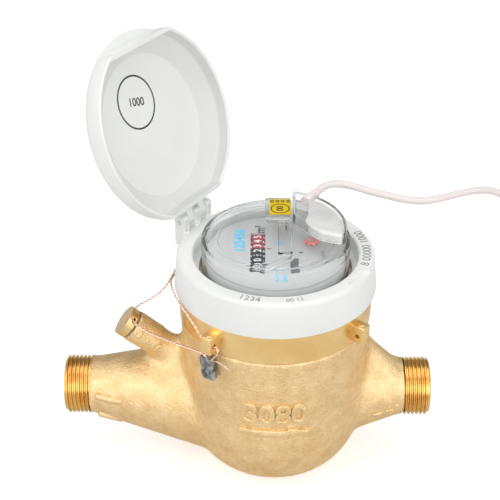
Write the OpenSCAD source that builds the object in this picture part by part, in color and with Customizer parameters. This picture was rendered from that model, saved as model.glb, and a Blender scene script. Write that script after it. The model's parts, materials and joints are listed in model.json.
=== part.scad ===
// Multi-jet water meter with a pulse sensor, threaded both ends, lid open.
// Origin at the middle of the flat base, +X along the flow, +Z up, millimetres.

/* [Pipe] */
// Height of the pipe axis above the base
pipe_h = 33.5; // [32:0.5:38]
// Distance from the head axis to the inlet end
inlet_reach = 94.7; // [88:0.1:115]
// Distance from the head axis to the outlet end
outlet_reach = 70.3; // [68:0.1:95]
// Crest radius of the pipe thread on both ends
thread_r = 13.22; // [12.8:0.01:14]
// Length of the thread on each end
thread_len = 11.3; // [9:0.1:13]
// Chamfer at each pipe end
thread_chamfer = 0.9; // [0.4:0.1:1.2]
// Radius of the water passage at both ends
bore_r = 7.5; // [6:0.1:9]

/* [Casting] */
// Radius of the flat base
base_r = 20; // [16:0.5:24]
// Radius of the bowl
bowl_r = 41; // [39.5:0.1:44]
// Height over which the base rounds up into the bowl
bowl_corner_h = 32; // [26:1:36]
// How much the casting widens up to the head ring
shoulder_step = 0.5; // [0.2:0.1:1]
// Height of the shoulder under the head ring
shoulder_z = 75.5; // [73:0.5:76]
// Radius of the inlet limb behind its thread
inlet_neck_r = 12.6; // [11:0.1:13]
// Radius of the inlet limb at its root in the bowl
inlet_root_r = 26.4; // [24:0.1:27]
// How far the inlet limb's axis drops to its root
inlet_drop = 5; // [3:0.5:6]
// Radius of the outlet limb behind its thread
outlet_neck_r = 12.6; // [12:0.1:15]
// Radius of the outlet limb at its root in the bowl
outlet_root_r = 20.5; // [18:0.1:22]
// Outer radius of the rising part of the outlet
riser_r = 8.4; // [7.5:0.1:9]
// Radius of the passage in the rising part
riser_bore_r = 6; // [5:0.1:6.5]
// Radius of the regulating boss
boss_r = 7.2; // [6.6:0.1:8]
// Slope of the regulating boss above the pipe axis, degrees
boss_slope = 38.5; // [34:0.5:44]
// Distance of the boss face from the head axis
boss_x = 63.5; // [60:0.5:70]
// Height of the boss face's middle
boss_z = 66.5; // [64:0.5:70]

/* [Measuring insert] */
// Thickness of the casting's floor
floor_t = 5; // [4:0.5:7]
// Wall of the casting round the water spaces
casting_wall = 4; // [3:0.1:4.6]
// Underside of the seat web between inlet and outlet spaces
web_z = 40; // [38:0.5:42]
// Thickness of the seat web
web_t = 4; // [3:0.5:5]
// Width of the seat web
web_w = 6.5; // [6:0.1:7]
// Width of the plate seal's seat
seat_w = 2.1; // [1.6:0.1:2.6]
// Wall of the measuring chamber
chamber_wall = 2.2; // [1.6:0.1:3]
// Radial room between the impeller's vanes and the chamber
impeller_gap = 3.6; // [2:0.1:6]
// Height of the impeller's vanes
vane_h = 22; // [16:1:26]
// Number of vanes
vane_count = 7; // [5:1:9]
// Radius of the impeller's steel pivot
pivot_r = 1.2; // [1:0.05:1.6]
// Outer radius of both coupling magnets
magnet_r = 8.6; // [7:0.1:9]

/* [Head] */
// Step from the shoulder in to the casting's neck
neck_step = 3.1; // [2.8:0.1:3.4]
// Height of the casting's neck above the shoulder
neck_h = 17.5; // [16:0.5:19]
// Wall of the casting's neck
neck_wall = 1.8; // [1.5:0.1:2.2]
// How far the head ring stands proud of the shoulder
ring_proud = 0.8; // [0.6:0.1:1.2]
// Step from the head ring in to its spigot
spigot_step = 1.7; // [1.4:0.1:2]
// How far the seal lugs stand out of the head ring
lug_out = 5.7; // [5:0.1:7]
// Width of a seal lug
lug_w = 5; // [4:0.1:6]
// Height of a seal lug
lug_h = 8.2; // [7:0.1:9]
// Height of the lugs above the head ring's foot
lug_lift = 2.2; // [1.4:0.1:3]
// Radius of the seal hole in a lug
lug_hole_r = 1; // [0.8:0.05:1.2]
// Thickness of the pressure plate
plate_t = 4; // [3:0.5:5]

/* [Collar and lid] */
// Height of the head ring's plain band
ring_band_h = 14.1; // [13.5:0.1:15]
// Height of the collar
collar_h = 15.9; // [15:0.1:17]
// Wall of the collar at its foot
collar_wall = 3; // [2.4:0.1:3.4]
// Draft of the collar's outside over its height
collar_draft = 1.3; // [1:0.1:1.6]
// Gap between the clear cover and the collar
cover_gap = 3.9; // [3.4:0.1:4.4]
// Direction of the hinge around the head axis, degrees
hinge_az = 148.5; // [140:0.5:156]
// How far the hinge axis stands out of the collar's top edge
hinge_out = 0.1; // [0:0.1:1]
// Height of the hinge axis above the collar
hinge_lift = 5.5; // [5:0.1:7]
// Angle of the lid as it stands open, from closed
lid_open = 112; // [100:1:120]
// How far the lid's edge stays inside the collar's top edge
lid_inset = 0.7; // [0.4:0.1:1]
// Outer height of the lid
lid_h = 11.2; // [10:0.1:13]
// Wall of the lid at its rim and floor
lid_wall = 1.8; // [1.4:0.1:2.4]
// Width of the sloping band inside the lid
lid_slope_w = 7; // [6:0.5:9]
// Width of one hinge knuckle
knuckle_w = 4; // [3:0.1:4.6]
// Radius of the hinge knuckles
knuckle_r = 2.6; // [2.2:0.1:3]
// Radius of the hinge pin
pin_r = 1.1; // [0.9:0.05:1.3]

/* [Register] */
// Radial room for the slip ring round the register
register_margin = 4.9; // [4.5:0.1:5.4]
// How far the clear cover stands above the collar
cover_rise = 8.2; // [7.8:0.1:10]
// Wall of the clear cover
cover_wall = 2; // [1.6:0.1:2.6]
// Depth of the dial under the top of the cover
dial_depth = 10; // [9.5:0.1:10.4]
// Thickness of the dial plate
dial_t = 0.8; // [0.5:0.1:1.2]
// Distance of the drum axis from the head axis
drum_x = 7.65; // [7:0.05:9]
// Radius of a number drum
drum_r = 6.5; // [5.5:0.1:6.6]
// Spacing of the number drums
drum_pitch = 3.83; // [3.4:0.01:3.9]
// Middle of the drum row along Y
drum_y = -0.4; // [-1:0.1:1]
// Height of a digit window across the drums
window_w = 6.3; // [5:0.1:7]
// Distance of the star in from the movement's ledge
star_margin = 11.6; // [11.4:0.1:12]
// Direction of the star around the head axis, degrees
star_az = 22.6; // [15:0.1:30]
// Radius of the star
star_r = 3.2; // [2.4:0.1:3.6]
// Teeth of the pinion on the follower magnet
pinion_teeth = 16; // [16:1:18]
// Teeth of the gear on the star's arbor
gear_teeth = 24; // [22:1:24]

/* [Pulse sensor] */
// How far the sensor housing stays inside the cover's edge
sensor_inset = 1.7; // [1.2:0.1:2.4]
// Height of the sensor housing
sensor_h = 5.5; // [5:0.1:7]
// Wall of the sensor housing
sensor_wall = 1.2; // [0.8:0.1:1.6]
// Diameter of the sensor's lead
cable_d = 3.5; // [3:0.1:4]
// Height of the clip rail over the cover
rail_h = 1.8; // [1.4:0.1:2.4]
// Height of the clip block under the label
block_h = 3.2; // [2.6:0.1:4]

/* [Fits] */
// Radial clearance of a running pivot or pin
run_gap = 0.05; // [0.02:0.01:0.1]
// Clearance between pieces that are slipped together
slip_gap = 0.2; // [0.1:0.05:0.3]
// Clearance between moving pieces side by side
side_gap = 0.35; // [0.3:0.05:0.5]

/* [Hidden] */
$fn = 64;
DRUMS = 8;

brass = "#d8a853";
white_plastic = "#f0efec";
chamber_white = "#e9e6dd";
jacket = "#e8d9d3";
grey_plastic = "#b9b9bb";
black_plastic = "#2c2f38";
red_plastic = "#b04858";
clear_plastic = "#e4ebee";
steel = "#a9adb2";
magnet_grey = "#4a4b4e";

// Radii of the casting, head, register and lid, from the bowl inwards and outwards
shoulder_r = bowl_r + shoulder_step;
cavity_r = bowl_r - casting_wall;
web_r = cavity_r - web_w;
neck_r = shoulder_r - neck_step;
neck_bore_r = neck_r - neck_wall;
seat_r = neck_bore_r - seat_w;
ring_r = shoulder_r + ring_proud;
ring_spigot_r = ring_r - spigot_step;
lug_reach = ring_r + lug_out;
collar_foot_r = ring_spigot_r + slip_gap + collar_wall;
collar_top_r = collar_foot_r - collar_draft;
cover_r = neck_bore_r - register_margin;
collar_bore_r = cover_r + cover_gap;
sensor_r = cover_r - sensor_inset;
lid_r = collar_top_r - lid_inset;
lid_floor_r = lid_r - lid_wall - lid_slope_w;
hinge_reach = collar_top_r + hinge_out;

// Heights of the head, from the shoulder upwards
neck_top = shoulder_z + neck_h;
ring_foot = shoulder_z + 0.3;
lug_z = ring_foot + lug_lift;
collar_z = ring_foot + ring_band_h;
collar_top = collar_z + collar_h;
cover_top = collar_top + cover_rise;
dial_z = cover_top - dial_depth;

// Limbs of the casting
inlet_root = [-26, 0, pipe_h - inlet_drop];
inlet_neck = [thread_len - inlet_reach, 0, pipe_h];
outlet_neck = [outlet_reach - thread_len, 0, pipe_h];
outlet_root = [36, 0, pipe_h + 0.3];
outlet_relief = outlet_neck - [0.8, 0, 0];
relief_r = thread_r - 1.2;
passage_turn = [-inlet_reach + 25, 0, pipe_h];
riser_foot = [outlet_reach - thread_len - 2, 0, pipe_h + 1];
riser_head = [32, 0, shoulder_z - 16.5];
limb_skin = 2.5;
boss_face = [-boss_x, 0, boss_z];
boss_axis = [cos(boss_slope), 0, -sin(boss_slope)];
boss_len = 36;
plug_depth = 12;
plug_shank_r = 4.5;
screw_r = 3;
screw_len = 14;
gasket_t = 0.8;
plug_head_t = 3.6;

// Stack of the head, from the seal's seat upwards
seal_t = 0.8;
seal_z = shoulder_z - 0.3;
seat_t = 4;
plate_z = seal_z + seal_t;
register_z = plate_z + plate_t;
slip_top = neck_top + 1;
ring_flange_t = 3;
ring_top = slip_top + ring_flange_t;
ring_flange_r = cover_r + 1.3;
rim_z = ring_top + 1;
web_top = web_z + web_t;

// Measuring insert
cavity_foot_r = base_r - 3;
function cavity_floor(r) =
    floor_t + (bowl_corner_h - floor_t) * (1 - cos(asin((r - cavity_foot_r) / (cavity_r - cavity_foot_r))));
chamber_r = web_r - 0.7;
chamber_z = cavity_floor(chamber_r + 1);
impeller_r = chamber_r - chamber_wall - impeller_gap;
basket_r = chamber_r + 2.8;
basket_z = cavity_floor(basket_r + 0.6);
chamber_floor_t = 2.5;
chamber_lid_t = 3.5;
chamber_top = plate_z - chamber_lid_t;
flange_t = 2;
port_count = 12;
hub_r = 5;
impeller_z = chamber_z + chamber_floor_t + 4;
magnet_t = 6;
magnet_z = chamber_top - 3.5 - magnet_t;
magnet_cup_wall = 1;
shaft_r = 3;
journal_r = 1.6;
journal_top = chamber_top + chamber_lid_t - 1.6;
pivot_depth = 8;
vane_t = 1.4;

// Register movement
register_r = cover_r - 0.2;
register_wall = 1.5;
register_flange_r = neck_bore_r - 1.8;
register_floor_t = 2;
register_floor = register_z + register_floor_t;
movement_z = register_z + 9.2;
movement_t = 1.5;
ledge_r = register_r - register_wall - 1.7;
star_reach = ledge_r - star_margin;
follower_t = 3.4;
follower_z = register_floor + 0.6;
pinion_z = follower_z + follower_t + 0.4;
pinion_t = 2;
arbor_r = 1;
bearing_depth = 1.2;
arbor_foot = register_floor - bearing_depth + 0.1;
tooth_module = 2 * star_reach / (pinion_teeth + gear_teeth);
star_pos = [star_reach * cos(star_az), star_reach * sin(star_az), 0];
star_z = dial_z + dial_t + 0.5;
star_t = 1.2;
drum_z = dial_z + 0.2 - drum_r;
drum_w = drum_pitch - side_gap;
drum_row = DRUMS * drum_pitch;
cheek_t = 1.2;
cheek_y = drum_row / 2 + 1;
shaft_end = cheek_y + cheek_t / 2;

// Sensor on the cover
sensor_x = 7.4;
sensor_front = [[sensor_x, 7.3], [18.2, -5.6], [28.3, -9.6]];
gland_az = 60;
gland_z = cover_top + sensor_h - 3;
gland_r = 2.4;
gland_len = 5;
gland_taper = 5;
gland_seat = sensor_r - 4;
reed_r = 1.1;
reed_len = 14;
rail_x = 0.8;
rail_w = 6;
block_w = 11.5;
block_y = 8;
block_len = 18;
label_w = 9.3;
label_len = 13.3;
label_t = 0.3;

// Hinge and lid
hinge_z = collar_top + hinge_lift;
rim_gap = 0.3;
rim_drop = rim_gap - hinge_lift;
chord_x = lid_r - 3.8;
lip_x = lid_r - 5.3;
lid_corner = 5;
lid_rim_depth = 2.4;
grip_depth = 8;
knuckle_gap = 0.4;
knuckle_step = knuckle_w + knuckle_gap;

// Lead: middle of its route from the gland to the coil
gland_out = [cos(gland_az), sin(gland_az), 0];
gland_tip = (gland_seat + gland_len + gland_taper) * gland_out + [0, 0, gland_z];
LEAD = concat([gland_tip, gland_tip + 2 * gland_out],
    [[21.4, 36, 116.9], [24.5, 38.4, 117], [28.1, 39.9, 116.6], [32, 40.4, 115.8], [37, 40.2, 114.6],
    [43, 39.6, 113], [51, 38.8, 111.2], [60, 38.4, 109.4], [67.5, 39.2, 108.4], [74, 42, 107.9],
    [80.5, 46, 107.3], [88, 51, 106.4], [95.5, 55.7, 105], [103, 59.7, 102.3], [109.5, 62.5, 97.5],
    [114.5, 64, 90.5], [117.5, 64.8, 82], [119.2, 65, 73], [120, 65, 62], [120.5, 65, 51], [121.2, 65, 40],
    [122.8, 65, 29], [126, 65, 18.8], [131, 65, 10.5], [138, 65, 5], [146, 65, 2.6]]);
lead_end = LEAD[len(LEAD) - 1];
coil_mid_r = 6 * cable_d;
coil_layers = 3;
coil_columns = 3;
coil_inner_r = coil_mid_r - coil_columns * cable_d / 2;
coil_outer_r = coil_mid_r + coil_columns * cable_d / 2;
tie_t = 0.8;
coil_pos = [lead_end.x + 8, lead_end.y + coil_outer_r - cable_d / 2, tie_t];
top_start = -90;
top_turn = 250;

// Seal wire: lead seal, front lug, round the collar, back lug, plug, and back to the lead seal
wire_d = 0.9;
WIRE = [[-27.6, -34.6, 72], [-25.8, -37.4, 76], [-24.2, -38.6, 79.5], [-24.4, -38, 81.3],
    [-26, -36.8, 81.5], [-29, -34.5, 81.5], [-31, -33, 83], [-33.5, -30.3, 86.5], [-36.5, -26.6, 89.5],
    [-39.6, -22, 91.4], [-42.5, -15.6, 92.3], [-44.5, -8, 92], [-45.2, -1, 90.5], [-44.6, 7, 88],
    [-43, 14.5, 85], [-40.7, 20.5, 82.5], [-38.5, 24, 81.6], [-35.8, 27.4, 81.5], [-33.4, 30.5, 81.5],
    [-32.8, 32.6, 82], [-34.4, 33.8, 82.6], [-37.4, 32.4, 83], [-41, 27.3, 83.6], [-44, 20.5, 84],
    [-46.5, 13, 83], [-50, 8, 80], [-55, 6, 76.5], [-59.3, 6.2, 73.6], [-61.6, 6, 72.1], [-62.1, 4.2, 71.8],
    [-62.1, 0, 71.8], [-62.1, -4.2, 71.8], [-61.6, -6, 71.6], [-60, -7.6, 71], [-57.5, -9.3, 70.3],
    [-50, -15.8, 71], [-42, -22.8, 72.5], [-34.5, -29.8, 74.5], [-30.3, -33.6, 75], [-29, -34.2, 73.6],
    [-28.6, -33.8, 71.5]];
seal_pos = [-28.4, -33.2, 68];

// Tube swept along a list of points
function unit(v) = v / norm(v);
function heading(p, i) = unit(p[min(i + 1, len(p) - 1)] - p[max(i - 1, 0)]);
function across(p, n, i = 0) =
    i == len(p) ? []
    : let (t = heading(p, i), m = unit(n - (n * t) * t)) concat([m], across(p, m, i + 1));
function tube_ring(c, t, m, r, sides) =
    [for (k = [0:sides - 1])
        c + r * (cos(360 * k / sides) * m + sin(360 * k / sides) * cross(t, m))];
module tube(p, r, sides = 8) {
    m = across(p, [0.1, 0.2, 1]);
    last = len(p) - 1;
    rings = [for (i = [0:last]) each tube_ring(p[i], heading(p, i), m[i], r, sides)];
    walls = [for (i = [0:last - 1], k = [0:sides - 1])
        [i * sides + k, i * sides + (k + 1) % sides,
            (i + 1) * sides + (k + 1) % sides, (i + 1) * sides + k]];
    start = [for (k = [sides - 1:-1:0]) k];
    finish = [for (k = [0:sides - 1]) last * sides + k];
    polyhedron(rings, [for (f = concat(walls, [start], [finish])) [for (k = [len(f) - 1:-1:0]) f[k]]]);
}

// Round bar or cone between two points
module bar(from, to, r1, r2) {
    d = to - from;
    translate(from)
        rotate([0, acos(d.z / norm(d)), atan2(d.y, d.x)])
            cylinder(h = norm(d), r1 = r1, r2 = r2);
}

// Ring with a square section, standing on its lower face
module band(z, h, outer, inner) {
    translate([0, 0, z])
        difference() {
            cylinder(h = h, r = outer);
            translate([0, 0, -1])
                cylinder(h = h + 2, r = inner);
        }
}

// Quarter of an ellipse from [r0, z0] level to [r1, z1] upright
function quarter(r0, z0, r1, z1, steps) =
    [for (i = [0:steps]) [r0 + (r1 - r0) * sin(90 * i / steps), z0 + (z1 - z0) * (1 - cos(90 * i / steps))]];

// Outside of the casting's bowl and neck
module bowl() {
    rotate_extrude($fn = 96)
        polygon(concat([[0, 0]], quarter(base_r, 0, bowl_r, bowl_corner_h, 12),
            [[shoulder_r, shoulder_z], [neck_r, shoulder_z], [neck_r, neck_top], [0, neck_top]]));
}

// Water spaces of the bowl, with the seat web between them
module bowl_space() {
    lower = quarter(cavity_foot_r, floor_t, cavity_r, bowl_corner_h, 10);
    rotate_extrude($fn = 96)
        polygon(concat([[0, floor_t]], lower, [[cavity_r, web_z], [web_r, web_z], [web_r, web_top],
            [cavity_r, web_top], [cavity_r, seal_z - seat_t], [seat_r, seal_z - seat_t],
            [seat_r, seal_z], [neck_bore_r, seal_z],
            [neck_bore_r, neck_top + 1], [0, neck_top + 1]]));
}

// Threaded end, reaching out along X from its neck to its chamfered tip
module pipe_end(x, side) {
    translate([x, 0, pipe_h])
        rotate([0, 90 * side, 0]) {
            cylinder(h = thread_len - thread_chamfer, r = thread_r);
            translate([0, 0, thread_len - thread_chamfer])
                cylinder(h = thread_chamfer, r1 = thread_r, r2 = thread_r - thread_chamfer);
        }
}

module body() {
    color(brass)
        difference() {
            union() {
                bowl();
                pipe_end(inlet_neck.x, -1);
                pipe_end(outlet_neck.x, 1);
                bar(inlet_neck, inlet_root, inlet_neck_r, inlet_root_r);
                bar(outlet_relief, outlet_root, outlet_neck_r, outlet_root_r);
                bar(outlet_relief - [1, 0, 0], outlet_neck, relief_r, relief_r);
                bar(riser_foot, riser_head, riser_r, riser_r);
                bar(boss_face, boss_face + boss_len * boss_axis, boss_r, boss_r);
            }
            bowl_space();
            bar([-inlet_reach - 1, 0, pipe_h], passage_turn, bore_r, bore_r);
            bar(passage_turn, inlet_root + [-8, 0, 1], bore_r, bore_r + limb_skin);
            bar([outlet_reach + 1, 0, pipe_h], riser_foot - [1, 0, 1], bore_r, bore_r);
            bar(riser_foot, riser_head, riser_bore_r, riser_bore_r);
            bar(boss_face - boss_axis, boss_face + plug_depth * boss_axis,
                plug_shank_r + slip_gap, plug_shank_r + slip_gap);
            bar(boss_face, boss_face + (boss_len - 1) * boss_axis, screw_r + slip_gap, screw_r + slip_gap);
        }
}

// Slotted sieve hanging under the seat web
module strainer_basket() {
    basket_wall = 1.4;
    slot_count = 24;
    slot_w = 2.8;
    rim_h = 3;
    slot_h = web_z - basket_z - 2 * rim_h;
    color(white_plastic)
        difference() {
            band(basket_z, web_z - basket_z, basket_r, basket_r - basket_wall);
            for (i = [0:slot_count / 2 - 1])
                rotate(i * 360 / slot_count)
                    translate([-basket_r - 1, -slot_w / 2, basket_z + rim_h])
                        cube([2 * basket_r + 2, slot_w, slot_h]);
        }
}

// Cup with rings of slanted jets, inlet below the flange and outlet above it
module jet_ring(z, h, slant) {
    jet_w = 3.2;
    jet_reach = 8;
    for (i = [0:port_count - 1])
        rotate(i * 360 / port_count)
            translate([chamber_r - jet_reach, 0, z])
                rotate(slant)
                    translate([0, -jet_w / 2, 0])
                        cube([2 * jet_reach, jet_w, h]);
}

module measuring_chamber() {
    jet_slant = 50;
    inlet_jet = [chamber_z + 9, 14];
    outlet_jet = [web_top + 5, 12];
    color(chamber_white)
        difference() {
            union() {
                translate([0, 0, chamber_z])
                    cylinder(h = chamber_top - chamber_z, r = chamber_r);
                translate([0, 0, web_top])
                    cylinder(h = flange_t, r = seat_r - 1);
            }
            translate([0, 0, chamber_z + chamber_floor_t])
                cylinder(h = chamber_top, r = chamber_r - chamber_wall);
            translate([0, 0, chamber_z - 1])
                cylinder(h = chamber_floor_t + 2, r = pivot_r);
            jet_ring(inlet_jet[0], inlet_jet[1], jet_slant);
            jet_ring(outlet_jet[0], outlet_jet[1], -jet_slant);
        }
}

module chamber_lid() {
    spigot_r = chamber_r - chamber_wall - slip_gap;
    spigot = 2;
    color(chamber_white)
        difference() {
            union() {
                translate([0, 0, chamber_top])
                    cylinder(h = chamber_lid_t, r = chamber_r);
                band(chamber_top - spigot, spigot, spigot_r, spigot_r - spigot);
            }
            translate([0, 0, chamber_top - 1])
                cylinder(h = chamber_lid_t, r = journal_r + run_gap);
        }
}

module impeller_pivot() {
    color(steel)
        translate([0, 0, chamber_z])
            cylinder(h = impeller_z + pivot_depth - chamber_z, r = pivot_r);
}

module impeller() {
    cup_r = magnet_r + magnet_cup_wall;
    color("#d8d8d4")
        difference() {
            union() {
                translate([0, 0, impeller_z])
                    cylinder(h = vane_h + 2, r = hub_r);
                for (i = [0:vane_count - 1])
                    rotate(i * 360 / vane_count)
                        translate([hub_r - 1, -vane_t / 2, impeller_z + 1])
                            cube([impeller_r - hub_r + 1, vane_t, vane_h]);
                translate([0, 0, impeller_z + vane_h])
                    cylinder(h = magnet_z - impeller_z - vane_h, r = shaft_r);
                translate([0, 0, magnet_z - 1])
                    cylinder(h = magnet_t + 1, r = cup_r);
                translate([0, 0, magnet_z])
                    cylinder(h = journal_top - magnet_z, r = journal_r);
            }
            band(magnet_z, magnet_t + 1, magnet_r + run_gap, shaft_r);
            translate([0, 0, impeller_z - 1])
                cylinder(h = pivot_depth + 1 + side_gap, r = pivot_r + run_gap);
        }
}

module impeller_magnet() {
    color(magnet_grey)
        band(magnet_z, magnet_t, magnet_r, shaft_r + run_gap);
}

module plate_seal() {
    color(black_plastic)
        band(seal_z, seal_t, neck_bore_r - slip_gap, seat_r + slip_gap);
}

module pressure_plate() {
    color("#c9c9c6")
        difference() {
            translate([0, 0, plate_z])
                cylinder(h = plate_t, r = neck_bore_r - slip_gap);
            translate([0, 0, register_z - plate_t / 2])
                cylinder(h = plate_t, r = magnet_r + 1);
        }
}

// Ring that passes the head ring's clamping on to the pressure plate and holds the register
module slip_ring() {
    color(grey_plastic)
        difference() {
            band(register_z, slip_top - register_z, neck_bore_r - slip_gap, register_r + slip_gap);
            translate([0, 0, register_z - 1])
                cylinder(h = register_floor_t + 1 + slip_gap, r = register_flange_r + slip_gap);
        }
}

module seal_lug(az) {
    hole = [lug_reach - 3, 0, lug_z + lug_h / 2 - 0.6];
    rotate(az)
        difference() {
            translate([ring_spigot_r - 1, -lug_w / 2, lug_z])
                cube([lug_reach - ring_spigot_r + 1, lug_w, lug_h]);
            translate(hole)
                rotate([90, 0, 0])
                    cylinder(h = lug_w + 2, r = lug_hole_r, center = true);
        }
}

module head_ring() {
    draft = 0.4;
    lug_az = 52.5;
    thread_gap_r = neck_r + slip_gap;
    color(brass) {
        rotate_extrude($fn = 96)
            polygon([[thread_gap_r, ring_foot], [ring_r - draft, ring_foot], [ring_r, collar_z],
                [ring_spigot_r, collar_z], [ring_spigot_r, ring_top], [ring_flange_r, ring_top],
                [ring_flange_r, slip_top], [thread_gap_r, slip_top]]);
        for (i = [0:3])
            seal_lug(lug_az + 90 * i);
    }
}

// Register can with a ledge for the movement and bearings for both arbors
module register_base() {
    arbor_hole_r = arbor_r + run_gap;
    color("#dcdcda")
        difference() {
            union() {
                translate([0, 0, register_z])
                    cylinder(h = rim_z - register_z, r = register_r);
                translate([0, 0, register_z])
                    cylinder(h = register_floor_t, r = register_flange_r);
            }
            translate([0, 0, register_floor])
                cylinder(h = rim_z, r = ledge_r);
            translate([0, 0, movement_z])
                cylinder(h = rim_z, r = register_r - register_wall);
            for (p = [[0, 0, 0], star_pos])
                translate(p + [0, 0, register_floor - bearing_depth])
                    cylinder(h = bearing_depth + 1, r = arbor_hole_r);
        }
}

// Spur gear with straight-flanked teeth, standing on Z = 0
module spur_gear(teeth, h) {
    foot_w = 1.2 * tooth_module;
    tip_w = 0.56 * tooth_module;
    pitch_r = tooth_module * teeth / 2;
    root_r = pitch_r - 1.15 * tooth_module;
    tip_r = pitch_r + 0.75 * tooth_module;
    linear_extrude(h) {
        circle(r = root_r);
        for (i = [0:teeth - 1])
            rotate(i * 360 / teeth)
                polygon([[root_r - 0.3, -foot_w / 2], [tip_r, -tip_w / 2],
                    [tip_r, tip_w / 2], [root_r - 0.3, foot_w / 2]]);
    }
}

module follower_arbor() {
    color(white_plastic) {
        translate([0, 0, arbor_foot])
            cylinder(h = movement_z + movement_t - arbor_foot, r = arbor_r);
        translate([0, 0, pinion_z])
            rotate(star_az)
                spur_gear(pinion_teeth, pinion_t);
    }
}

module follower_magnet() {
    color(magnet_grey)
        band(follower_z, follower_t, magnet_r, arbor_r + run_gap);
}

module star_arbor() {
    color(white_plastic)
        translate(star_pos) {
            translate([0, 0, arbor_foot])
                cylinder(h = star_z + star_t - arbor_foot, r = arbor_r);
            translate([0, 0, pinion_z + 0.2])
                rotate(star_az + 180 + 180 / gear_teeth)
                    spur_gear(gear_teeth, pinion_t - 0.4);
        }
}

module pulse_star() {
    points = 6;
    valley_r = 0.6 * star_r;
    color("#d8434f")
        translate(star_pos + [0, 0, star_z])
            linear_extrude(star_t)
                difference() {
                    polygon([for (i = [0:2 * points - 1])
                        let (r = i % 2 == 0 ? star_r : valley_r)
                            [r * cos(180 * i / points), r * sin(180 * i / points)]]);
                    circle(r = arbor_r + run_gap);
                }
}

// Plate of the movement, with drum cheeks and the posts that carry the dial
module movement_plate() {
    post_r = 1.5;
    post_reach = ledge_r - 2.3;
    cheek_w = 6;
    cheek_top = drum_z + 2.4;
    color("#d5d2c8")
        difference() {
            union() {
                translate([0, 0, movement_z])
                    cylinder(h = movement_t, r = register_r - register_wall - slip_gap);
                for (side = [-1, 1])
                    translate([-drum_x - cheek_w / 2, drum_y + side * cheek_y - cheek_t / 2, movement_z])
                        cube([cheek_w, cheek_t, cheek_top - movement_z]);
                for (a = [120, 240, 330])
                    rotate(a)
                        translate([post_reach, 0, movement_z])
                            cylinder(h = dial_z - movement_z, r = post_r);
            }
            for (p = [[0, 0, 0], star_pos])
                translate(p + [0, 0, movement_z - 1])
                    cylinder(h = movement_t + 2, r = arbor_r + run_gap);
            translate([-drum_x, drum_y, drum_z])
                rotate([90, 0, 0])
                    cylinder(h = 2 * shaft_end + 2, r = arbor_r, center = true);
        }
}

module drum_shaft() {
    color(steel)
        translate([-drum_x, drum_y, drum_z])
            rotate([90, 0, 0])
                cylinder(h = 2 * shaft_end, r = arbor_r, center = true);
}

// Number drum with a recessed web on one side, counted from the near end
module number_drum(i, paint) {
    hub = 2.2;
    rim = 1;
    recess = 1.6;
    color(paint)
        translate([-drum_x, drum_y + (i - DRUMS / 2 - 0.5) * drum_pitch, drum_z])
            rotate([90, 0, 0])
                difference() {
                    cylinder(h = drum_w, r = drum_r, center = true);
                    cylinder(h = drum_w + 1, r = arbor_r + run_gap, center = true);
                    band(drum_w / 2 - recess, recess + 1, drum_r - rim, hub);
                }
}
module number_drum_1() number_drum(1, black_plastic);
module number_drum_2() number_drum(2, black_plastic);
module number_drum_3() number_drum(3, black_plastic);
module number_drum_4() number_drum(4, black_plastic);
module number_drum_5() number_drum(5, black_plastic);
module number_drum_6() number_drum(6, red_plastic);
module number_drum_7() number_drum(7, red_plastic);
module number_drum_8() number_drum(8, red_plastic);

module dial_plate() {
    color("#d9dadb")
        difference() {
            translate([0, 0, dial_z])
                cylinder(h = dial_t, r = cover_r - cover_wall - slip_gap);
            translate([-drum_x - window_w / 2, drum_y - drum_row / 2, dial_z - 1])
                cube([window_w, drum_row, dial_t + 2]);
            translate(star_pos + [0, 0, dial_z - 1])
                cylinder(h = dial_t + 2, r = arbor_r + side_gap);
        }
}

// Clear cover with a stepped rim and a shallow groove round its top
module register_cover() {
    step_w = 1.5;
    step_h = 1.4;
    groove = [cover_r - 4.1, cover_r - 3, 0.7];
    inner_r = cover_r - cover_wall;
    color(clear_plastic)
        rotate_extrude($fn = 96)
            polygon([[0, cover_top], [groove[0], cover_top], [groove[0], cover_top - groove[2]],
                [groove[1], cover_top - groove[2]], [groove[1], cover_top], [cover_r - step_w, cover_top],
                [cover_r - step_w, cover_top - step_h], [cover_r, cover_top - step_h],
                [cover_r, rim_z], [inner_r, rim_z], [inner_r, cover_top - cover_wall],
                [0, cover_top - cover_wall]]);
}

// Clip rail across the cover, with the block that carries the label
module clip_bar() {
    rail_end = 14.5 - cover_r;
    rail_wall = 0.9;
    rail_floor = 0.6;
    color(clear_plastic)
        translate([rail_x, 0, cover_top]) {
            difference() {
                translate([0, rail_end, 0])
                    cube([rail_w, block_y - rail_end, rail_h]);
                translate([rail_wall, rail_end + rail_wall, rail_floor])
                    cube([rail_w - 2 * rail_wall, block_y - rail_end - 2 * rail_wall, rail_h]);
            }
            translate([rail_w - block_w, block_y, 0])
                cube([block_w, block_len, block_h]);
        }
}

module seal_label() {
    color("#f0d420")
        translate([rail_x + rail_w - label_w - 0.2, block_y + 2.5, cover_top + block_h])
            cube([label_w, label_len, label_t]);
}

// Oval loop of clear rod lying on the cover beside the rail's near end
module seal_loop() {
    rod_r = 0.9;
    bend_r = 1.9;
    straight = 12;
    loop_pos = [0, -24.8, cover_top + rod_r];
    loop_turn = 41;
    color(clear_plastic)
        translate(loop_pos)
            rotate(loop_turn) {
                for (side = [0, 1])
                    translate([side == 0 ? -straight / 2 : straight / 2, 0, 0])
                        rotate(side == 0 ? 90 : -90)
                            rotate_extrude(angle = 180)
                                translate([bend_r, 0])
                                    circle(r = rod_r);
                for (y = [-bend_r, bend_r])
                    translate([-straight / 2, y, 0])
                        rotate([0, 90, 0])
                            cylinder(h = straight, r = rod_r);
            }
}

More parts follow.
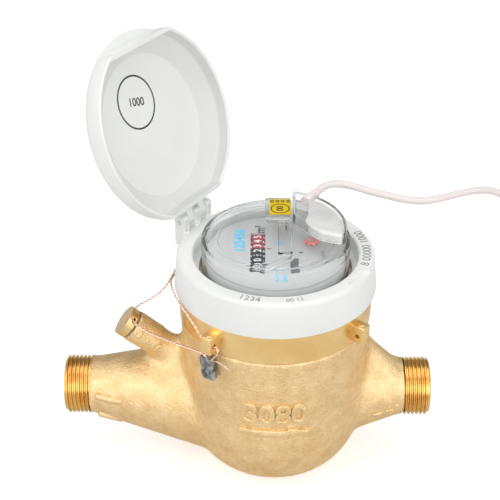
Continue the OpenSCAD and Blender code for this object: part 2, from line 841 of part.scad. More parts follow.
// Plan of the sensor housing: a piece of the cover's circle behind a bent front
module sensor_plan(inset) {
    difference() {
        intersection() {
            circle(r = sensor_r - inset, $fn = 96);
            translate([sensor_x + inset, -sensor_r])
                square([sensor_r, 2 * sensor_r]);
        }
        for (i = [0:1]) {
            run = sensor_front[i + 1] - sensor_front[i];
            slope = atan2(run.y, run.x);
            translate(sensor_front[i])
                rotate(slope)
                    translate([-sensor_r, inset - 2 * sensor_r])
                        square([3 * sensor_r, 2 * sensor_r]);
        }
    }
}

module sensor_housing() {
    color(clear_plastic)
        difference() {
            translate([0, 0, cover_top])
                linear_extrude(sensor_h)
                    sensor_plan(0);
            translate([0, 0, cover_top - 1])
                linear_extrude(sensor_h - sensor_wall + 1)
                    sensor_plan(sensor_wall);
            rotate(gland_az)
                translate([gland_seat, 0, gland_z])
                    rotate([0, 90, 0])
                        cylinder(h = 2 * gland_len, r = gland_r);
        }
}

module reed_rod(r, length) {
    translate([21, 8, cover_top + 2])
        rotate([0, 90, -65])
            cylinder(h = length, r = r, center = true);
}

module sensor_potting() {
    left_x = 14;
    back_y = 22;
    color("#f4f3ef")
        difference() {
            translate([0, 0, cover_top])
                linear_extrude(sensor_h - sensor_wall - 2 * slip_gap)
                    intersection() {
                        sensor_plan(sensor_wall + slip_gap);
                        translate([left_x, back_y - 2 * sensor_r])
                            square(2 * sensor_r);
                    }
            reed_rod(reed_r + run_gap, reed_len + 1);
            rotate(gland_az)
                translate([gland_seat - 2, 0, gland_z])
                    rotate([0, 90, 0])
                        cylinder(h = 2 * gland_len, r = gland_r + slip_gap);
        }
}

module reed_switch() {
    color("#9fb8a8")
        reed_rod(reed_r, reed_len);
}

// Strain relief from the housing to the lead's first point
module cable_gland() {
    tip_r = cable_d / 2 + 0.4;
    color(clear_plastic)
        rotate(gland_az)
            translate([gland_seat, 0, gland_z])
                rotate([0, 90, 0]) {
                    cylinder(h = gland_len, r = gland_r);
                    translate([0, 0, gland_len])
                        cylinder(h = gland_taper, r1 = gland_r, r2 = tip_r);
                }
}

module finger_notch() {
    notch_w = 14;
    notch_depth = 1.6;
    notch_reach = 4;
    rotate(hinge_az + 180)
        translate([collar_top_r - notch_reach, -notch_w / 2, collar_top - notch_depth])
            cube([2 * notch_reach, notch_w, 2 * notch_depth]);
}

// Frame of the hinge: Y along its axis, X towards the head axis
module at_hinge() {
    translate([hinge_reach * cos(hinge_az), hinge_reach * sin(hinge_az), hinge_z])
        rotate(hinge_az + 180)
            children();
}

module hinge_rod(y, w, r) {
    translate([0, y, 0])
        rotate([90, 0, 0])
            cylinder(h = w, r = r, center = true);
}

module collar() {
    edge = 1.2;
    lead_in = 0.6;
    spigot = ring_spigot_r + slip_gap;
    step_z = ring_top + slip_gap;
    leg = hinge_lift + 6;
    color(white_plastic)
        difference() {
            union() {
                rotate_extrude($fn = 96)
                    polygon(concat([[spigot, collar_z], [collar_foot_r, collar_z]],
                        [for (i = [0:4])
                            [collar_top_r, collar_top] + edge * [cos(22.5 * i) - 1, sin(22.5 * i) - 1]],
                        [[collar_bore_r + lead_in, collar_top], [collar_bore_r, collar_top - lead_in],
                            [collar_bore_r, step_z], [spigot, step_z]]));
                at_hinge()
                    for (i = [-2, 0, 2]) {
                        hinge_rod(i * knuckle_step, knuckle_w, knuckle_r);
                        translate([-knuckle_r, i * knuckle_step - knuckle_w / 2, -leg])
                            cube([2 * knuckle_r, knuckle_w, leg]);
                    }
            }
            finger_notch();
            at_hinge()
                hinge_rod(0, 6 * knuckle_step, pin_r);
        }
}

module lid_outside() {
    rotate_extrude($fn = 96)
        polygon(concat([[0, 0], [lid_r, 0]],
            [for (i = [0:6])
                [lid_r, lid_h] + lid_corner * [cos(15 * i) - 1, sin(15 * i) - 1]],
            [[0, lid_h]]));
}

module lid_hollow() {
    rim_in = lid_r - lid_wall;
    floor_z = lid_h - lid_wall;
    rotate_extrude($fn = 96)
        polygon([[0, -1], [rim_in, -1], [rim_in, lid_rim_depth], [lid_floor_r, floor_z], [0, floor_z]]);
}

// Everything of the lid on the far side of a chord
module past_chord(x) {
    translate([x, -2 * lid_r, -lid_h])
        cube([4 * lid_r, 4 * lid_r, 4 * lid_h]);
}

module lid() {
    color(white_plastic)
        at_hinge()
            rotate([0, -lid_open, 0])
                difference() {
                    union() {
                        translate([hinge_reach, 0, rim_drop])
                            difference() {
                                intersection() {
                                    lid_outside();
                                    past_chord(-chord_x);
                                }
                                difference() {
                                    intersection() {
                                        lid_hollow();
                                        past_chord(lid_wall - chord_x);
                                    }
                                    past_chord(lip_x - lid_wall);
                                }
                                translate([lip_x, -lid_r, -1])
                                    cube([lid_r, 2 * lid_r, grip_depth + 1]);
                            }
                        for (i = [-1, 1]) {
                            hinge_rod(i * knuckle_step, knuckle_w, knuckle_r);
                            translate([0, i * knuckle_step - knuckle_w / 2, -knuckle_r])
                                cube([hinge_reach - chord_x + 0.5, knuckle_w, 2 * knuckle_r]);
                        }
                    }
                    hinge_rod(0, 6 * knuckle_step, pin_r + run_gap);
                }
}

module hinge_pin() {
    color(steel)
        at_hinge()
            hinge_rod(0, 5 * knuckle_step, pin_r);
}

// Frame of the regulating boss: Z out of its face, X up the slope of its end
module at_boss() {
    translate(boss_face)
        rotate([0, boss_slope - 90, 0])
            children();
}

// Plain plug with an eye for the seal wire across its head
module adjusting_plug() {
    eye = [5, 0, gasket_t + 1.4];
    eye_r = 0.8;
    head_r = boss_r - 0.3;
    color(brass)
        at_boss()
            difference() {
                union() {
                    translate([0, 0, gasket_t])
                        cylinder(h = plug_head_t, r = head_r);
                    translate([0, 0, 1 - plug_depth])
                        cylinder(h = plug_depth, r = plug_shank_r);
                }
                translate(eye)
                    rotate([90, 0, 0])
                        cylinder(h = 4 * head_r, r = eye_r, center = true);
            }
}

module plug_gasket() {
    color(black_plastic)
        at_boss()
            band(0, gasket_t, boss_r - 0.4, plug_shank_r + slip_gap);
}

module regulating_screw() {
    color(brass)
        bar(boss_face + plug_depth * boss_axis, boss_face + (plug_depth + screw_len) * boss_axis,
            screw_r, screw_r);
}

module seal_wire() {
    color("#c79a80")
        tube(WIRE, wire_d / 2);
}

module lead_seal() {
    corner_r = 1.7;
    half_w = 1.8;
    half_h = 3.8;
    color("#5b5d60")
        translate(seal_pos)
            rotate(atan2(seal_pos.y, seal_pos.x))
                hull()
                    for (y = [-half_w, half_w], z = [-half_h, half_h])
                        translate([0, y, z])
                            sphere(r = corner_r, $fn = 24);
}

module pulse_cable() {
    color(jacket)
        tube(LEAD, cable_d / 2);
}

// Outside of the wound turns, with the start of a fourth layer on top
module cable_coil() {
    color(jacket)
        translate(coil_pos) {
            band(0, coil_layers * cable_d, coil_outer_r, coil_inner_r);
            translate([0, 0, coil_layers * cable_d])
                rotate(top_start)
                    rotate_extrude(angle = top_turn)
                        translate([coil_mid_r - cable_d / 2, 0])
                            square(cable_d);
        }
}

// Strap round the turns, lying under the coil
module coil_tie() {
    tie_w = 4;
    gap = 0.2;
    tie_az = 215;
    inner_x = coil_inner_r - gap;
    span = coil_columns * cable_d + 2 * gap;
    height = coil_layers * cable_d + gap;
    color(black_plastic)
        translate([coil_pos.x, coil_pos.y, 0])
            rotate(tie_az)
                difference() {
                    translate([inner_x - tie_t, -tie_w / 2, 0])
                        cube([span + 2 * tie_t, tie_w, height + 2 * tie_t]);
                    translate([inner_x, -tie_w, tie_t])
                        cube([span, 2 * tie_w, height]);
                }
}

// Stripped end of the lead: a shrink sleeve and two conductors, each with a crimped ferrule
module cable_end() {
    sleeve_len = 3;
    core_r = 0.55;
    core_gap = 0.85;
    ferrule_r = 0.75;
    ferrule_len = 6;
    color("#c9a23c")
        translate(coil_pos + [0, 0, (coil_layers + 0.5) * cable_d])
            rotate(top_start + top_turn)
                translate([coil_mid_r, 0, 0])
                    rotate([-90, 0, 0]) {
                        cylinder(h = sleeve_len, r = cable_d / 2);
                        for (side = [-1, 1])
                            translate([side * core_gap, 0, sleeve_len]) {
                                cylinder(h = ferrule_len, r = core_r);
                                translate([0, 0, ferrule_len])
                                    cylinder(h = ferrule_len, r = ferrule_r);
                            }
                    }
}

body();
strainer_basket();
measuring_chamber();
chamber_lid();
impeller_pivot();
impeller();
impeller_magnet();
plate_seal();
pressure_plate();
slip_ring();
head_ring();
register_base();
follower_arbor();
follower_magnet();
star_arbor();
pulse_star();
movement_plate();
drum_shaft();
number_drum_1();
number_drum_2();
number_drum_3();
number_drum_4();
number_drum_5();
number_drum_6();
number_drum_7();
number_drum_8();
dial_plate();
register_cover();
clip_bar();
seal_label();
seal_loop();
sensor_housing();
sensor_potting();
reed_switch();
cable_gland();
collar();
lid();
hinge_pin();
adjusting_plug();
plug_gasket();
regulating_screw();
seal_wire();
lead_seal();
pulse_cable();
cable_coil();
coil_tie();
cable_end();
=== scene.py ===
# Water meter: cast brass body with threaded ends, dry register under a clear cover, white hinged lid,
# pulse sensor with its lead, and a seal of twisted wire and lead.
import json
import math

import bmesh
import bpy
from mathutils import Matrix, Vector


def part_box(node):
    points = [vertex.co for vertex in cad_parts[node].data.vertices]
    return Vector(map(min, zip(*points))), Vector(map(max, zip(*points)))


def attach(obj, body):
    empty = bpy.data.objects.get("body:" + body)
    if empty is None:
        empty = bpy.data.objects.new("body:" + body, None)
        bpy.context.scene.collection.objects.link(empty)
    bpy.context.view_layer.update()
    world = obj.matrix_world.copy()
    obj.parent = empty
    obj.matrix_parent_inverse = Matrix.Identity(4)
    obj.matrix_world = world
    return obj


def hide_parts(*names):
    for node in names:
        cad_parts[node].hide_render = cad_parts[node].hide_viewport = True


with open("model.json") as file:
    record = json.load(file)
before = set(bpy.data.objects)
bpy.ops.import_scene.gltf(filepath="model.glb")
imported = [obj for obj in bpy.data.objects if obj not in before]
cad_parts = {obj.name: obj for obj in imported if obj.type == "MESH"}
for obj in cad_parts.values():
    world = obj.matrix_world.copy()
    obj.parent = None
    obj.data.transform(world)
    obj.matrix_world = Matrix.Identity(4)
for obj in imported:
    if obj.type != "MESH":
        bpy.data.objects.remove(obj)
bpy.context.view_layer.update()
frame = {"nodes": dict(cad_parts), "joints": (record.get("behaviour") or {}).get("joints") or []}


# The view: a long lens from the front, a little above, looking down on the register. The meter stands
# on a white table in a light tent of four soft lamps.
mm = 0.001
scene = bpy.context.scene
sight = Vector((-11.01, 0, 105.7)) * mm
distance = 533.33 * mm
turn, tilt = math.radians(0.59), math.radians(31.43)
back = Vector((math.sin(turn) * math.cos(tilt), -math.cos(turn) * math.cos(tilt), math.sin(tilt)))
camera = bpy.data.objects.new("camera", bpy.data.cameras.new("camera"))
camera.data.lens = 89.55
camera.data.sensor_width = 36
camera.location = sight + back * distance
camera.rotation_euler = (-back).to_track_quat("-Z", "Y").to_euler()
scene.collection.objects.link(camera)
scene.camera = camera
scene.view_settings.view_transform = "Standard"
lamp_target = Vector((0, 0, 0.06))


def lamp(name, place, size, watts):
    light = bpy.data.lights.new(name, "AREA")
    light.size = size
    light.energy = watts
    holder = bpy.data.objects.new(name, light)
    holder.location = place
    holder.rotation_euler = (lamp_target - Vector(place)).to_track_quat("-Z", "Y").to_euler()
    scene.collection.objects.link(holder)


lamp("tent_left", place=(-0.75, -0.45, 0.75), size=0.6, watts=2.5)
lamp("tent_right", place=(0.8, -0.55, 0.55), size=0.6, watts=2.2)
lamp("tent_top", place=(0.05, 0.1, 1.1), size=0.8, watts=2.2)
lamp("tent_front", place=(0.0, -1.1, 0.45), size=0.7, watts=1.6)


# Each input of a node is given a plain value or the socket that feeds it.
def wired(tree, node, inputs):
    for socket, given in inputs.items():
        if isinstance(given, bpy.types.NodeSocket):
            tree.links.new(given, node.inputs[socket])
        else:
            node.inputs[socket].default_value = given


def added(tree, kind, inputs=None, **settings):
    node = tree.nodes.new("ShaderNode" + kind)
    for key, value in settings.items():
        setattr(node, key, value)
    wired(tree, node, inputs or {})
    return node


def larger(tree, a, b):
    return added(tree, "Math", {0: a, 1: b}, operation="MAXIMUM").outputs[0]


def surface(made, inputs):
    wired(made.node_tree, made.node_tree.nodes["Principled BSDF"], inputs)


def holding(bm, name):
    mesh = bpy.data.meshes.new(name)
    bm.to_mesh(mesh)
    bm.free()
    return bpy.data.objects.new(name, mesh)


tent_light, tent_white = 0.62, 1.0
glow_front, glow_back = 1.6, 0.35
world = bpy.data.worlds.new("tent")
scene.world = world
world.use_nodes = True
tree = world.node_tree
ray = added(tree, "LightPath").outputs
seen = larger(tree, ray["Is Camera Ray"], ray["Is Transmission Ray"])
level = added(tree, "MapRange", {"Value": seen, "To Min": tent_light, "To Max": tent_white})
towards = added(tree, "SeparateXYZ", {0: added(tree, "TexCoord").outputs["Generated"]})
glow = added(tree, "MapRange", {"Value": towards.outputs["Y"], "From Min": -0.9, "From Max": 0.7,
                                "To Min": glow_front, "To Max": glow_back})
strength = added(tree, "Mix", {"Factor": ray["Is Glossy Ray"], "A": level.outputs[0], "B": glow.outputs[0]})
wired(tree, tree.nodes["Background"], {"Color": (1, 1, 1, 1), "Strength": strength.outputs["Result"]})

table_colour, table_glow, mirrored_share = (0.72, 0.72, 0.72, 1), (0.55, 0.55, 0.55, 1), 0.2
board = bmesh.new()
bmesh.ops.create_grid(board, x_segments=2, y_segments=2, size=3.0)
table = holding(board, "table")
scene.collection.objects.link(table)
white_table = bpy.data.materials.new("white_table")
white_table.use_nodes = True
tree = white_table.node_tree
ray = added(tree, "LightPath").outputs
mirrored = added(tree, "Math", {0: ray["Is Glossy Ray"], 1: mirrored_share}, operation="MULTIPLY").outputs[0]
shown = larger(tree, larger(tree, ray["Is Camera Ray"], mirrored), ray["Is Transmission Ray"])
surface(white_table, {"Base Color": table_colour, "Roughness": 0.8, "Specular IOR Level": 0.1,
                      "Emission Color": table_glow, "Emission Strength": shown})
table.data.materials.append(white_table)


# Body: one sand casting of brass, shot-blasted to an even grain, with the bowl, the inlet and outlet
# limbs, the riser and the regulating boss run together in soft fillets and the mouths machined off.
nodes = frame["nodes"]


def finish(name, colour, roughness=0.4, metallic=0.0):
    made = bpy.data.materials.new(name)
    made.use_nodes = True
    surface(made, {"Base Color": (*colour, 1), "Roughness": roughness, "Metallic": metallic})
    return made


def noise(made, scale, detail, coarse=0.5, stretch=None):
    tree = made.node_tree
    place = added(tree, "TexCoord").outputs["Object"]
    if stretch:
        place = added(tree, "Mapping", {"Vector": place, "Scale": stretch}).outputs[0]
    inputs = {"Vector": place, "Scale": scale, "Detail": detail, "Roughness": coarse}
    return added(tree, "TexNoise", inputs).outputs["Fac"]


def mottle(made, scale, dark, light, spread=(0.35, 0.65), detail=4.0, coarse=0.5):
    ramp = added(made.node_tree, "ValToRGB", {"Fac": noise(made, scale, detail, coarse)})
    for stop, position, colour in zip(ramp.color_ramp.elements, spread, (dark, light)):
        stop.position = position
        stop.color = (*colour, 1)
    surface(made, {"Base Color": ramp.outputs["Color"]})


def uneven_gloss(made, scale, low, high):
    spread = added(made.node_tree, "MapRange", {"Value": noise(made, scale, detail=3.0), "From Min": 0.3,
                                                "From Max": 0.7, "To Min": low, "To Max": high})
    surface(made, {"Roughness": spread.outputs[0]})


def grain(made, scale, depth, strength, detail=3.0, stretch=None):
    height = noise(made, scale, detail, stretch=stretch)
    bump = added(made.node_tree, "Bump", {"Height": height, "Strength": strength, "Distance": depth * mm})
    surface(made, {"Normal": bump.outputs[0]})


def piece(name, bm, made, stands_for=None, body="meter", smooth=40):
    item = holding(bm, name)
    item.data.materials.append(made)
    item.data.shade_smooth()
    item.data.set_sharp_from_angle(angle=math.radians(smooth))
    scene.collection.objects.link(item)
    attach(item, body)
    if stands_for:
        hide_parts(stands_for)
    return item


# The mesh of a text, a curve or an object with modifiers, as Blender works it out.
def worked_out(holder):
    scene.collection.objects.link(holder)
    bpy.context.view_layer.update()
    done = bpy.data.meshes.new_from_object(holder.evaluated_get(bpy.context.evaluated_depsgraph_get()))
    bpy.data.objects.remove(holder)
    bm = bmesh.new()
    bm.from_mesh(done)
    bpy.data.meshes.remove(done)
    return bm


def applied(bm, *modifiers):
    holder = holding(bm, "working")
    for kind, values in modifiers:
        modifier = holder.modifiers.new(kind, kind)
        for key, value in values.items():
            setattr(modifier, key, value)
    return worked_out(holder)


def soften(bm, verts, times):
    for _ in range(times):
        bmesh.ops.smooth_vert(bm, verts=verts, factor=0.5, use_axis_x=True, use_axis_y=True, use_axis_z=True)


def cut(bm, at, away, clear=True):
    bmesh.ops.bisect_plane(bm, geom=bm.verts[:] + bm.edges[:] + bm.faces[:], plane_co=at, plane_no=away,
                           clear_outer=clear)


sand_cast = finish("sand_cast_brass", (0.79, 0.595, 0.325), roughness=0.46, metallic=1.0)
mottle(sand_cast, scale=150, dark=(0.69, 0.485, 0.23), light=(0.88, 0.69, 0.41), spread=(0.3, 0.7),
       detail=5.0, coarse=0.8)
uneven_gloss(sand_cast, scale=900, low=0.50, high=0.66)
grain(sand_cast, scale=1100, depth=0.6, strength=0.7, detail=5.0)

voxel = 1.15 * mm
inlet_mouth, outlet_mouth = -83.3 * mm, 58.2 * mm
sand_left, sand_right, sand_low, sand_top = -81.5 * mm, 57.0 * mm, 1.2 * mm, 73 * mm
boss_face, boss_axis = Vector((-63.5, 0, 66.5)) * mm, Vector((0.7826, 0, -0.6225))
boss_skim, boss_r = 5 * mm, 10 * mm
foot_from, foot_to, foot_r = 13 * mm, 40 * mm, 16 * mm
bend_from, bend_low = 28 * mm, 37 * mm


def down_boss(p):
    return (p - boss_face).dot(boss_axis)


def off_boss(p):
    return (p - boss_face - boss_axis * down_boss(p)).length


def in_sand(p):
    machined = down_boss(p) < boss_skim and off_boss(p) < boss_r
    return sand_left < p.x < sand_right and sand_low < p.z < sand_top and not machined


casting = bmesh.new()
casting.from_mesh(nodes["body"].data)
bmesh.ops.remove_doubles(casting, verts=casting.verts, dist=1e-6)
casting = applied(casting, ("REMESH", {"mode": "VOXEL", "voxel_size": voxel}))
sand = [v for v in casting.verts if in_sand(v.co)]
soften(casting, sand, 9)
boss_foot = [v for v in sand if foot_from < down_boss(v.co) < foot_to and off_boss(v.co) < foot_r]
soften(casting, boss_foot, 40)
outlet_bend = [v for v in sand if bend_from < v.co.x < sand_right and v.co.z > bend_low]
soften(casting, outlet_bend, 20)
for x, side in ((inlet_mouth, -1), (outlet_mouth, 1)):
    cut(casting, (x, 0, 0), (side, 0, 0))
bmesh.ops.triangle_fill(casting, edges=[e for e in casting.edges if e.is_boundary], use_beauty=True)
bmesh.ops.recalc_face_normals(casting, faces=casting.faces)
piece("body_casting", casting, sand_cast, "body", smooth=60)


# Pipe threads: cut on the lathe into both limb ends, bright brass with a turning chamfer at the mouth
# and the bore running through.
cut_brass = finish("cut_thread_brass", (0.80, 0.52, 0.17), roughness=0.2, metallic=1.0)
mottle(cut_brass, scale=160, dark=(0.74, 0.45, 0.13), light=(0.85, 0.58, 0.22))
uneven_gloss(cut_brass, scale=500, low=0.16, high=0.28)

pipe_z = 33.5 * mm
inlet_end, outlet_end = (corner[0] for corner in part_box("body"))
inlet_neck, outlet_neck = inlet_mouth + 0.6 * mm, outlet_mouth - 0.2 * mm
pitch, crest, root, bore = 1.814 * mm, 13.22 * mm, 12.1 * mm, 7.5 * mm
relief_r, mouth_r, mouth_slope = 12.45 * mm, root - 0.1 * mm, 1.2
# One turn of the thread's outline, along the pipe in shares of the pitch.
flank = [(0.0, root), (0.12, root), (0.44, crest), (0.62, crest), (0.94, root), (1.0, root)]
facets = 64


def swing(degrees, axis):
    return Matrix.Rotation(math.radians(degrees), 4, axis)


def pipe_thread(tip, neck, relief=0.0):
    start, stop = min(tip, neck), max(tip, neck)
    turns = math.ceil((stop - start) / pitch) + 2
    bm = bmesh.new()
    line = [bm.verts.new((start - pitch + u * pitch, 0, r)) for u, r in flank]
    edges = [bm.edges.new(pair) for pair in zip(line, line[1:])]
    bmesh.ops.spin(bm, geom=line + edges, cent=(0, 0, 0), axis=(1, 0, 0), dvec=(pitch / facets, 0, 0),
                   angle=2 * math.pi * turns, steps=facets * turns)
    bmesh.ops.remove_doubles(bm, verts=bm.verts, dist=2e-6)
    for x, side in ((start, -1), (stop, 1)):
        cut(bm, (x, 0, 0), (side, 0, 0))
    for v in bm.verts:
        reach = math.hypot(v.co.y, v.co.z)
        most = min(crest, mouth_r + abs(v.co.x - tip) * mouth_slope)
        if abs(v.co.x - neck) < relief:
            most = relief_r
        if reach > most:
            v.co.y *= most / reach
            v.co.z *= most / reach
    bmesh.ops.create_cone(bm, cap_ends=False, segments=facets, radius1=bore, radius2=bore, depth=stop - start,
                          matrix=Matrix.Translation(((start + stop) / 2, 0, 0)) @ swing(90, "Y"))
    for x in (start, stop):
        ring = [e for e in bm.edges if e.is_boundary and all(abs(v.co.x - x) < 1e-5 for v in e.verts)]
        bmesh.ops.triangle_fill(bm, edges=ring, use_beauty=True)
    bmesh.ops.recalc_face_normals(bm, faces=bm.faces)
    bmesh.ops.translate(bm, verts=bm.verts, vec=(0, 0, pipe_z))
    return bm


piece("inlet_thread", pipe_thread(inlet_end, inlet_neck), cut_brass, smooth=25)
piece("outlet_thread", pipe_thread(outlet_end, outlet_neck, relief=0.7 * mm), cut_brass,
      smooth=25)


# Cast marks: a raised number and flow arrow on the bowl, ribs on the inlet limb and small bars on the
# outlet limb and the boss, all of the same casting and just as grainy.
def lettering(words, size, thick=0.0, edge=0.0, bold=0.0):
    text = bpy.data.curves.new("lettering", "FONT")
    text.body = words
    text.size = size * mm
    text.align_x = text.align_y = "CENTER"
    text.offset = bold * mm
    text.extrude = thick * mm
    text.bevel_depth = edge * mm
    text.bevel_resolution = 2
    text.resolution_u = 6
    bm = worked_out(bpy.data.objects.new("lettering", text))
    bmesh.ops.remove_doubles(bm, verts=bm.verts, dist=1e-7)
    return bm


def shift(*place):
    return Matrix.Translation(Vector(place) * mm)


def moved(bm, matrix):
    bmesh.ops.transform(bm, matrix=matrix, verts=bm.verts)
    return bm


def raised(bm, way):
    skin = bmesh.ops.extrude_face_region(bm, geom=bm.faces[:])["geom"]
    lifted = [v for v in skin if isinstance(v, bmesh.types.BMVert)]
    bmesh.ops.translate(bm, vec=Vector(way) * mm, verts=lifted)
    bmesh.ops.recalc_face_normals(bm, faces=bm.faces)
    return bm


def eased(bm, geom, offset, segments=3, affect="EDGES"):
    bmesh.ops.bevel(bm, geom=geom, offset=offset * mm, segments=segments, profile=0.5, affect=affect,
                    material=-1)


def bar(size, place, edge, spin=Matrix.Identity(4)):
    bm = bmesh.new()
    bmesh.ops.create_cube(bm, size=1.0)
    bmesh.ops.scale(bm, vec=Vector(size) * mm, verts=bm.verts)
    eased(bm, bm.edges[:], edge)
    return moved(bm, shift(*place) @ spin)


def gather(*parts):
    whole = bmesh.new()
    for bm in parts:
        mesh = bpy.data.meshes.new("part")
        bm.to_mesh(mesh)
        bm.free()
        whole.from_mesh(mesh)
        bpy.data.meshes.remove(mesh)
    return whole


bowl_foot_r, bowl_r, bowl_wide_z = 20 * mm, 41 * mm, 32 * mm
riser_flare, riser_rise = 0.5 * mm, 43.5 * mm
strip, strips_each_way = 1.7 * mm, 9
number_z, arrow_z = 48.3 * mm, 38.8 * mm
shaft_half, head_half, arrow_half, head_from = 1.6, 2.9, 15.5, 5.5
arrow_sunk, arrow_thick = 0.3, 1.4


def bowl_reach(z):
    if z < bowl_wide_z:
        curve = math.sqrt(max(0, 1 - ((bowl_wide_z - z) / bowl_wide_z) ** 2))
        return bowl_foot_r + (bowl_r - bowl_foot_r) * curve
    return bowl_r + riser_flare * (z - bowl_wide_z) / riser_rise


def on_bowl(bm, middle_z):
    for i in range(-strips_each_way, strips_each_way + 1):
        cut(bm, (i * strip, 0, 0), (1, 0, 0), clear=False)
    for v in bm.verts:
        along, up, out = v.co
        z, a = middle_z + up, along / bowl_r
        reach = bowl_reach(z) + out
        v.co = (reach * math.sin(a), -reach * math.cos(a), z)
    return bm


number = lettering("3080", 14.6, thick=0.55, edge=0.5)
bmesh.ops.scale(number, vec=(0.94, 0.98, 1), verts=number.verts)
upper_half = [(arrow_half, 0), (head_from, head_half), (head_from, shaft_half), (-arrow_half, shaft_half)]
arrow_line = [(x, -y) for x, y in upper_half[:0:-1]] + upper_half
arrow = bmesh.new()
arrow.faces.new([arrow.verts.new((x * mm, y * mm, -arrow_sunk * mm)) for x, y in arrow_line])
raised(arrow, (0, 0, arrow_thick))
eased(arrow, [e for e in arrow.edges if all(v.co.z > 0.5 * mm for v in e.verts)], 0.5)
piece("bowl_marks", gather(on_bowl(number, number_z), on_bowl(arrow, arrow_z)), sand_cast)

# Each limb is a cone from its mouth to the bowl: x, radius and the height of its axis at both ends.
inlet_limb = (-83.4, 12.6, 33.5), (-26, 26.4, 28.5)
outlet_limb = (58.2, 12.6, 33.5), (36, 20.5, 33.8)
rib_thick, rib_proud, rib_end_proud = 3.4, 1.7, 0.1
bar_thick, bar_proud = 1.1, 0.5


def limb_face(x, z):
    (x0, r0, z0), (x1, r1, z1) = inlet_limb if x < 0 else outlet_limb
    share = (x - x0) / (x1 - x0)
    reach, level = r0 + (r1 - r0) * share, z0 + (z1 - z0) * share
    return -math.sqrt(max(reach ** 2 - (z - level) ** 2, 0))


def rib(start, end, thick):
    a, b = Vector(start), Vector(end)
    lie = (b - a).to_track_quat("X", "Z").to_matrix().to_4x4()
    return bar(((b - a).length, thick, thick), (a + b) / 2, 0.42 * thick, lie)


def limb_rib(x0, z0, x1, z1, thick=bar_thick, proud0=bar_proud, proud1=bar_proud):
    start = (x0, limb_face(x0, z0) + thick / 2 - proud0, z0)
    end = (x1, limb_face(x1, z1) + thick / 2 - proud1, z1)
    return rib(start, end, thick)


inlet_ribs = [limb_rib(-80.6, 36.4, -68.0, 34.2, rib_thick, rib_proud, rib_end_proud),
              limb_rib(-80.0, 25.4, -68.5, 21.6, rib_thick, rib_proud + 0.2, rib_end_proud)]
outlet_bars = [limb_rib(44.0, 29.6, 48.6, 29.8), limb_rib(46.3, 26.4, 46.5, 30.0),
               limb_rib(50.2, 30.4, 53.6, 30.6), limb_rib(51.8, 27.4, 51.9, 32.8),
               limb_rib(54.4, 32.0, 56.2, 32.8)]
boss_bar = rib((-53.8, -6.9, 57.2), (-50.2, -6.9, 60.2), 1.2)
piece("limb_marks", gather(*inlet_ribs, *outlet_bars, boss_bar), sand_cast)


# Head ring: a union ring turned from brass bar, screwed down over the neck, with four drilled lugs for
# the seal wire. Its band shows fine turning marks.
def turned(outline, rounds=None, steps=128, closed=True):
    bm = bmesh.new()
    line = [bm.verts.new((r * mm, 0, z * mm)) for r, z in outline]
    for pair in zip(line, line[1:] + line[:1] if closed else line[1:]):
        bm.edges.new(pair)
    for i, radius in (rounds or {}).items():
        eased(bm, [line[i]], radius, 4, "VERTICES")
    bmesh.ops.spin(bm, geom=bm.verts[:] + bm.edges[:], cent=(0, 0, 0), axis=(0, 0, 1),
                   angle=2 * math.pi, steps=steps, use_merge=True)
    bmesh.ops.remove_doubles(bm, verts=bm.verts, dist=1e-6)
    bmesh.ops.recalc_face_normals(bm, faces=bm.faces)
    return bm


def sharp_edges(bm, crease=0.5):
    return [e for e in bm.edges if e.calc_face_angle(0) > crease]


def drilled(outline, hole, hole_r, width, edge):
    bm = bmesh.new()
    corners = [bm.verts.new((x * mm, -width / 2 * mm, z * mm)) for x, z in outline]
    for pair in zip(corners, corners[1:] + corners[:1]):
        bm.edges.new(pair)
    middle = Vector((hole[0], -width / 2, hole[1])) * mm
    hole_rim = 1.15 * hole_r * mm
    bmesh.ops.create_circle(bm, segments=24, radius=hole_r * mm,
                            matrix=Matrix.Translation(middle) @ swing(90, "X"))
    bmesh.ops.triangle_fill(bm, edges=bm.edges[:], use_beauty=True)
    raised(bm, (0, width, 0))

    def outer(v):
        return math.hypot(v.co.x - middle.x, v.co.z - middle.z) > hole_rim

    eased(bm, [e for e in sharp_edges(bm) if all(map(outer, e.verts))], edge)
    return bm


turned_brass = finish("turned_ring_brass", (0.86, 0.61, 0.27), roughness=0.33, metallic=1.0)
mottle(turned_brass, scale=60, dark=(0.81, 0.55, 0.22), light=(0.90, 0.67, 0.33))
uneven_gloss(turned_brass, scale=400, low=0.28, high=0.40)
grain(turned_brass, scale=260, depth=0.08, strength=0.4, stretch=(0.6, 0.6, 9))


def low_top(node):
    return [corner[2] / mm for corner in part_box(node)]


ring_low, spigot_top = low_top("head_ring")
ring_top, web_low = low_top("collar")[0], 94
ring_bore, ring_low_r, ring_r, spigot_r, web_r = 38.7, 41.9, 42.3, 40.6, 33
lug_in, lug_out, lug_low, lug_top, lug_wide = 39.6, 48, 78, 86.2, 5.0
lug_hole, lug_hole_r = (45, 81.5), 1.0
first_lug, lug_count = 52.5, 4
lug_turns = [swing(first_lug + 360 / lug_count * i, "Z") for i in range(lug_count)]
lug_line = [(lug_in, lug_low), (lug_out, lug_low), (lug_out, lug_top), (lug_in, lug_top)]
band = turned([(ring_bore, ring_low), (ring_low_r, ring_low), (ring_r, ring_top), (spigot_r, ring_top),
               (spigot_r, spigot_top), (web_r, spigot_top), (web_r, web_low), (ring_bore, web_low)],
              {1: 0.4, 2: 0.3, 4: 0.4, 5: 0.4})
lugs = [moved(drilled(lug_line, lug_hole, lug_hole_r, lug_wide, 0.45), place) for place in lug_turns]
stamp_size, stamp_reach = (2.6, 2.4, 0.5), 45.3
stamps = [moved(bar(stamp_size, (stamp_reach, 0, lug_top - 0.05), 0.2, swing(45, "Z")), place)
          for place in lug_turns]
piece("head_ring_turned", gather(band, *lugs, *stamps), turned_brass, "head_ring")


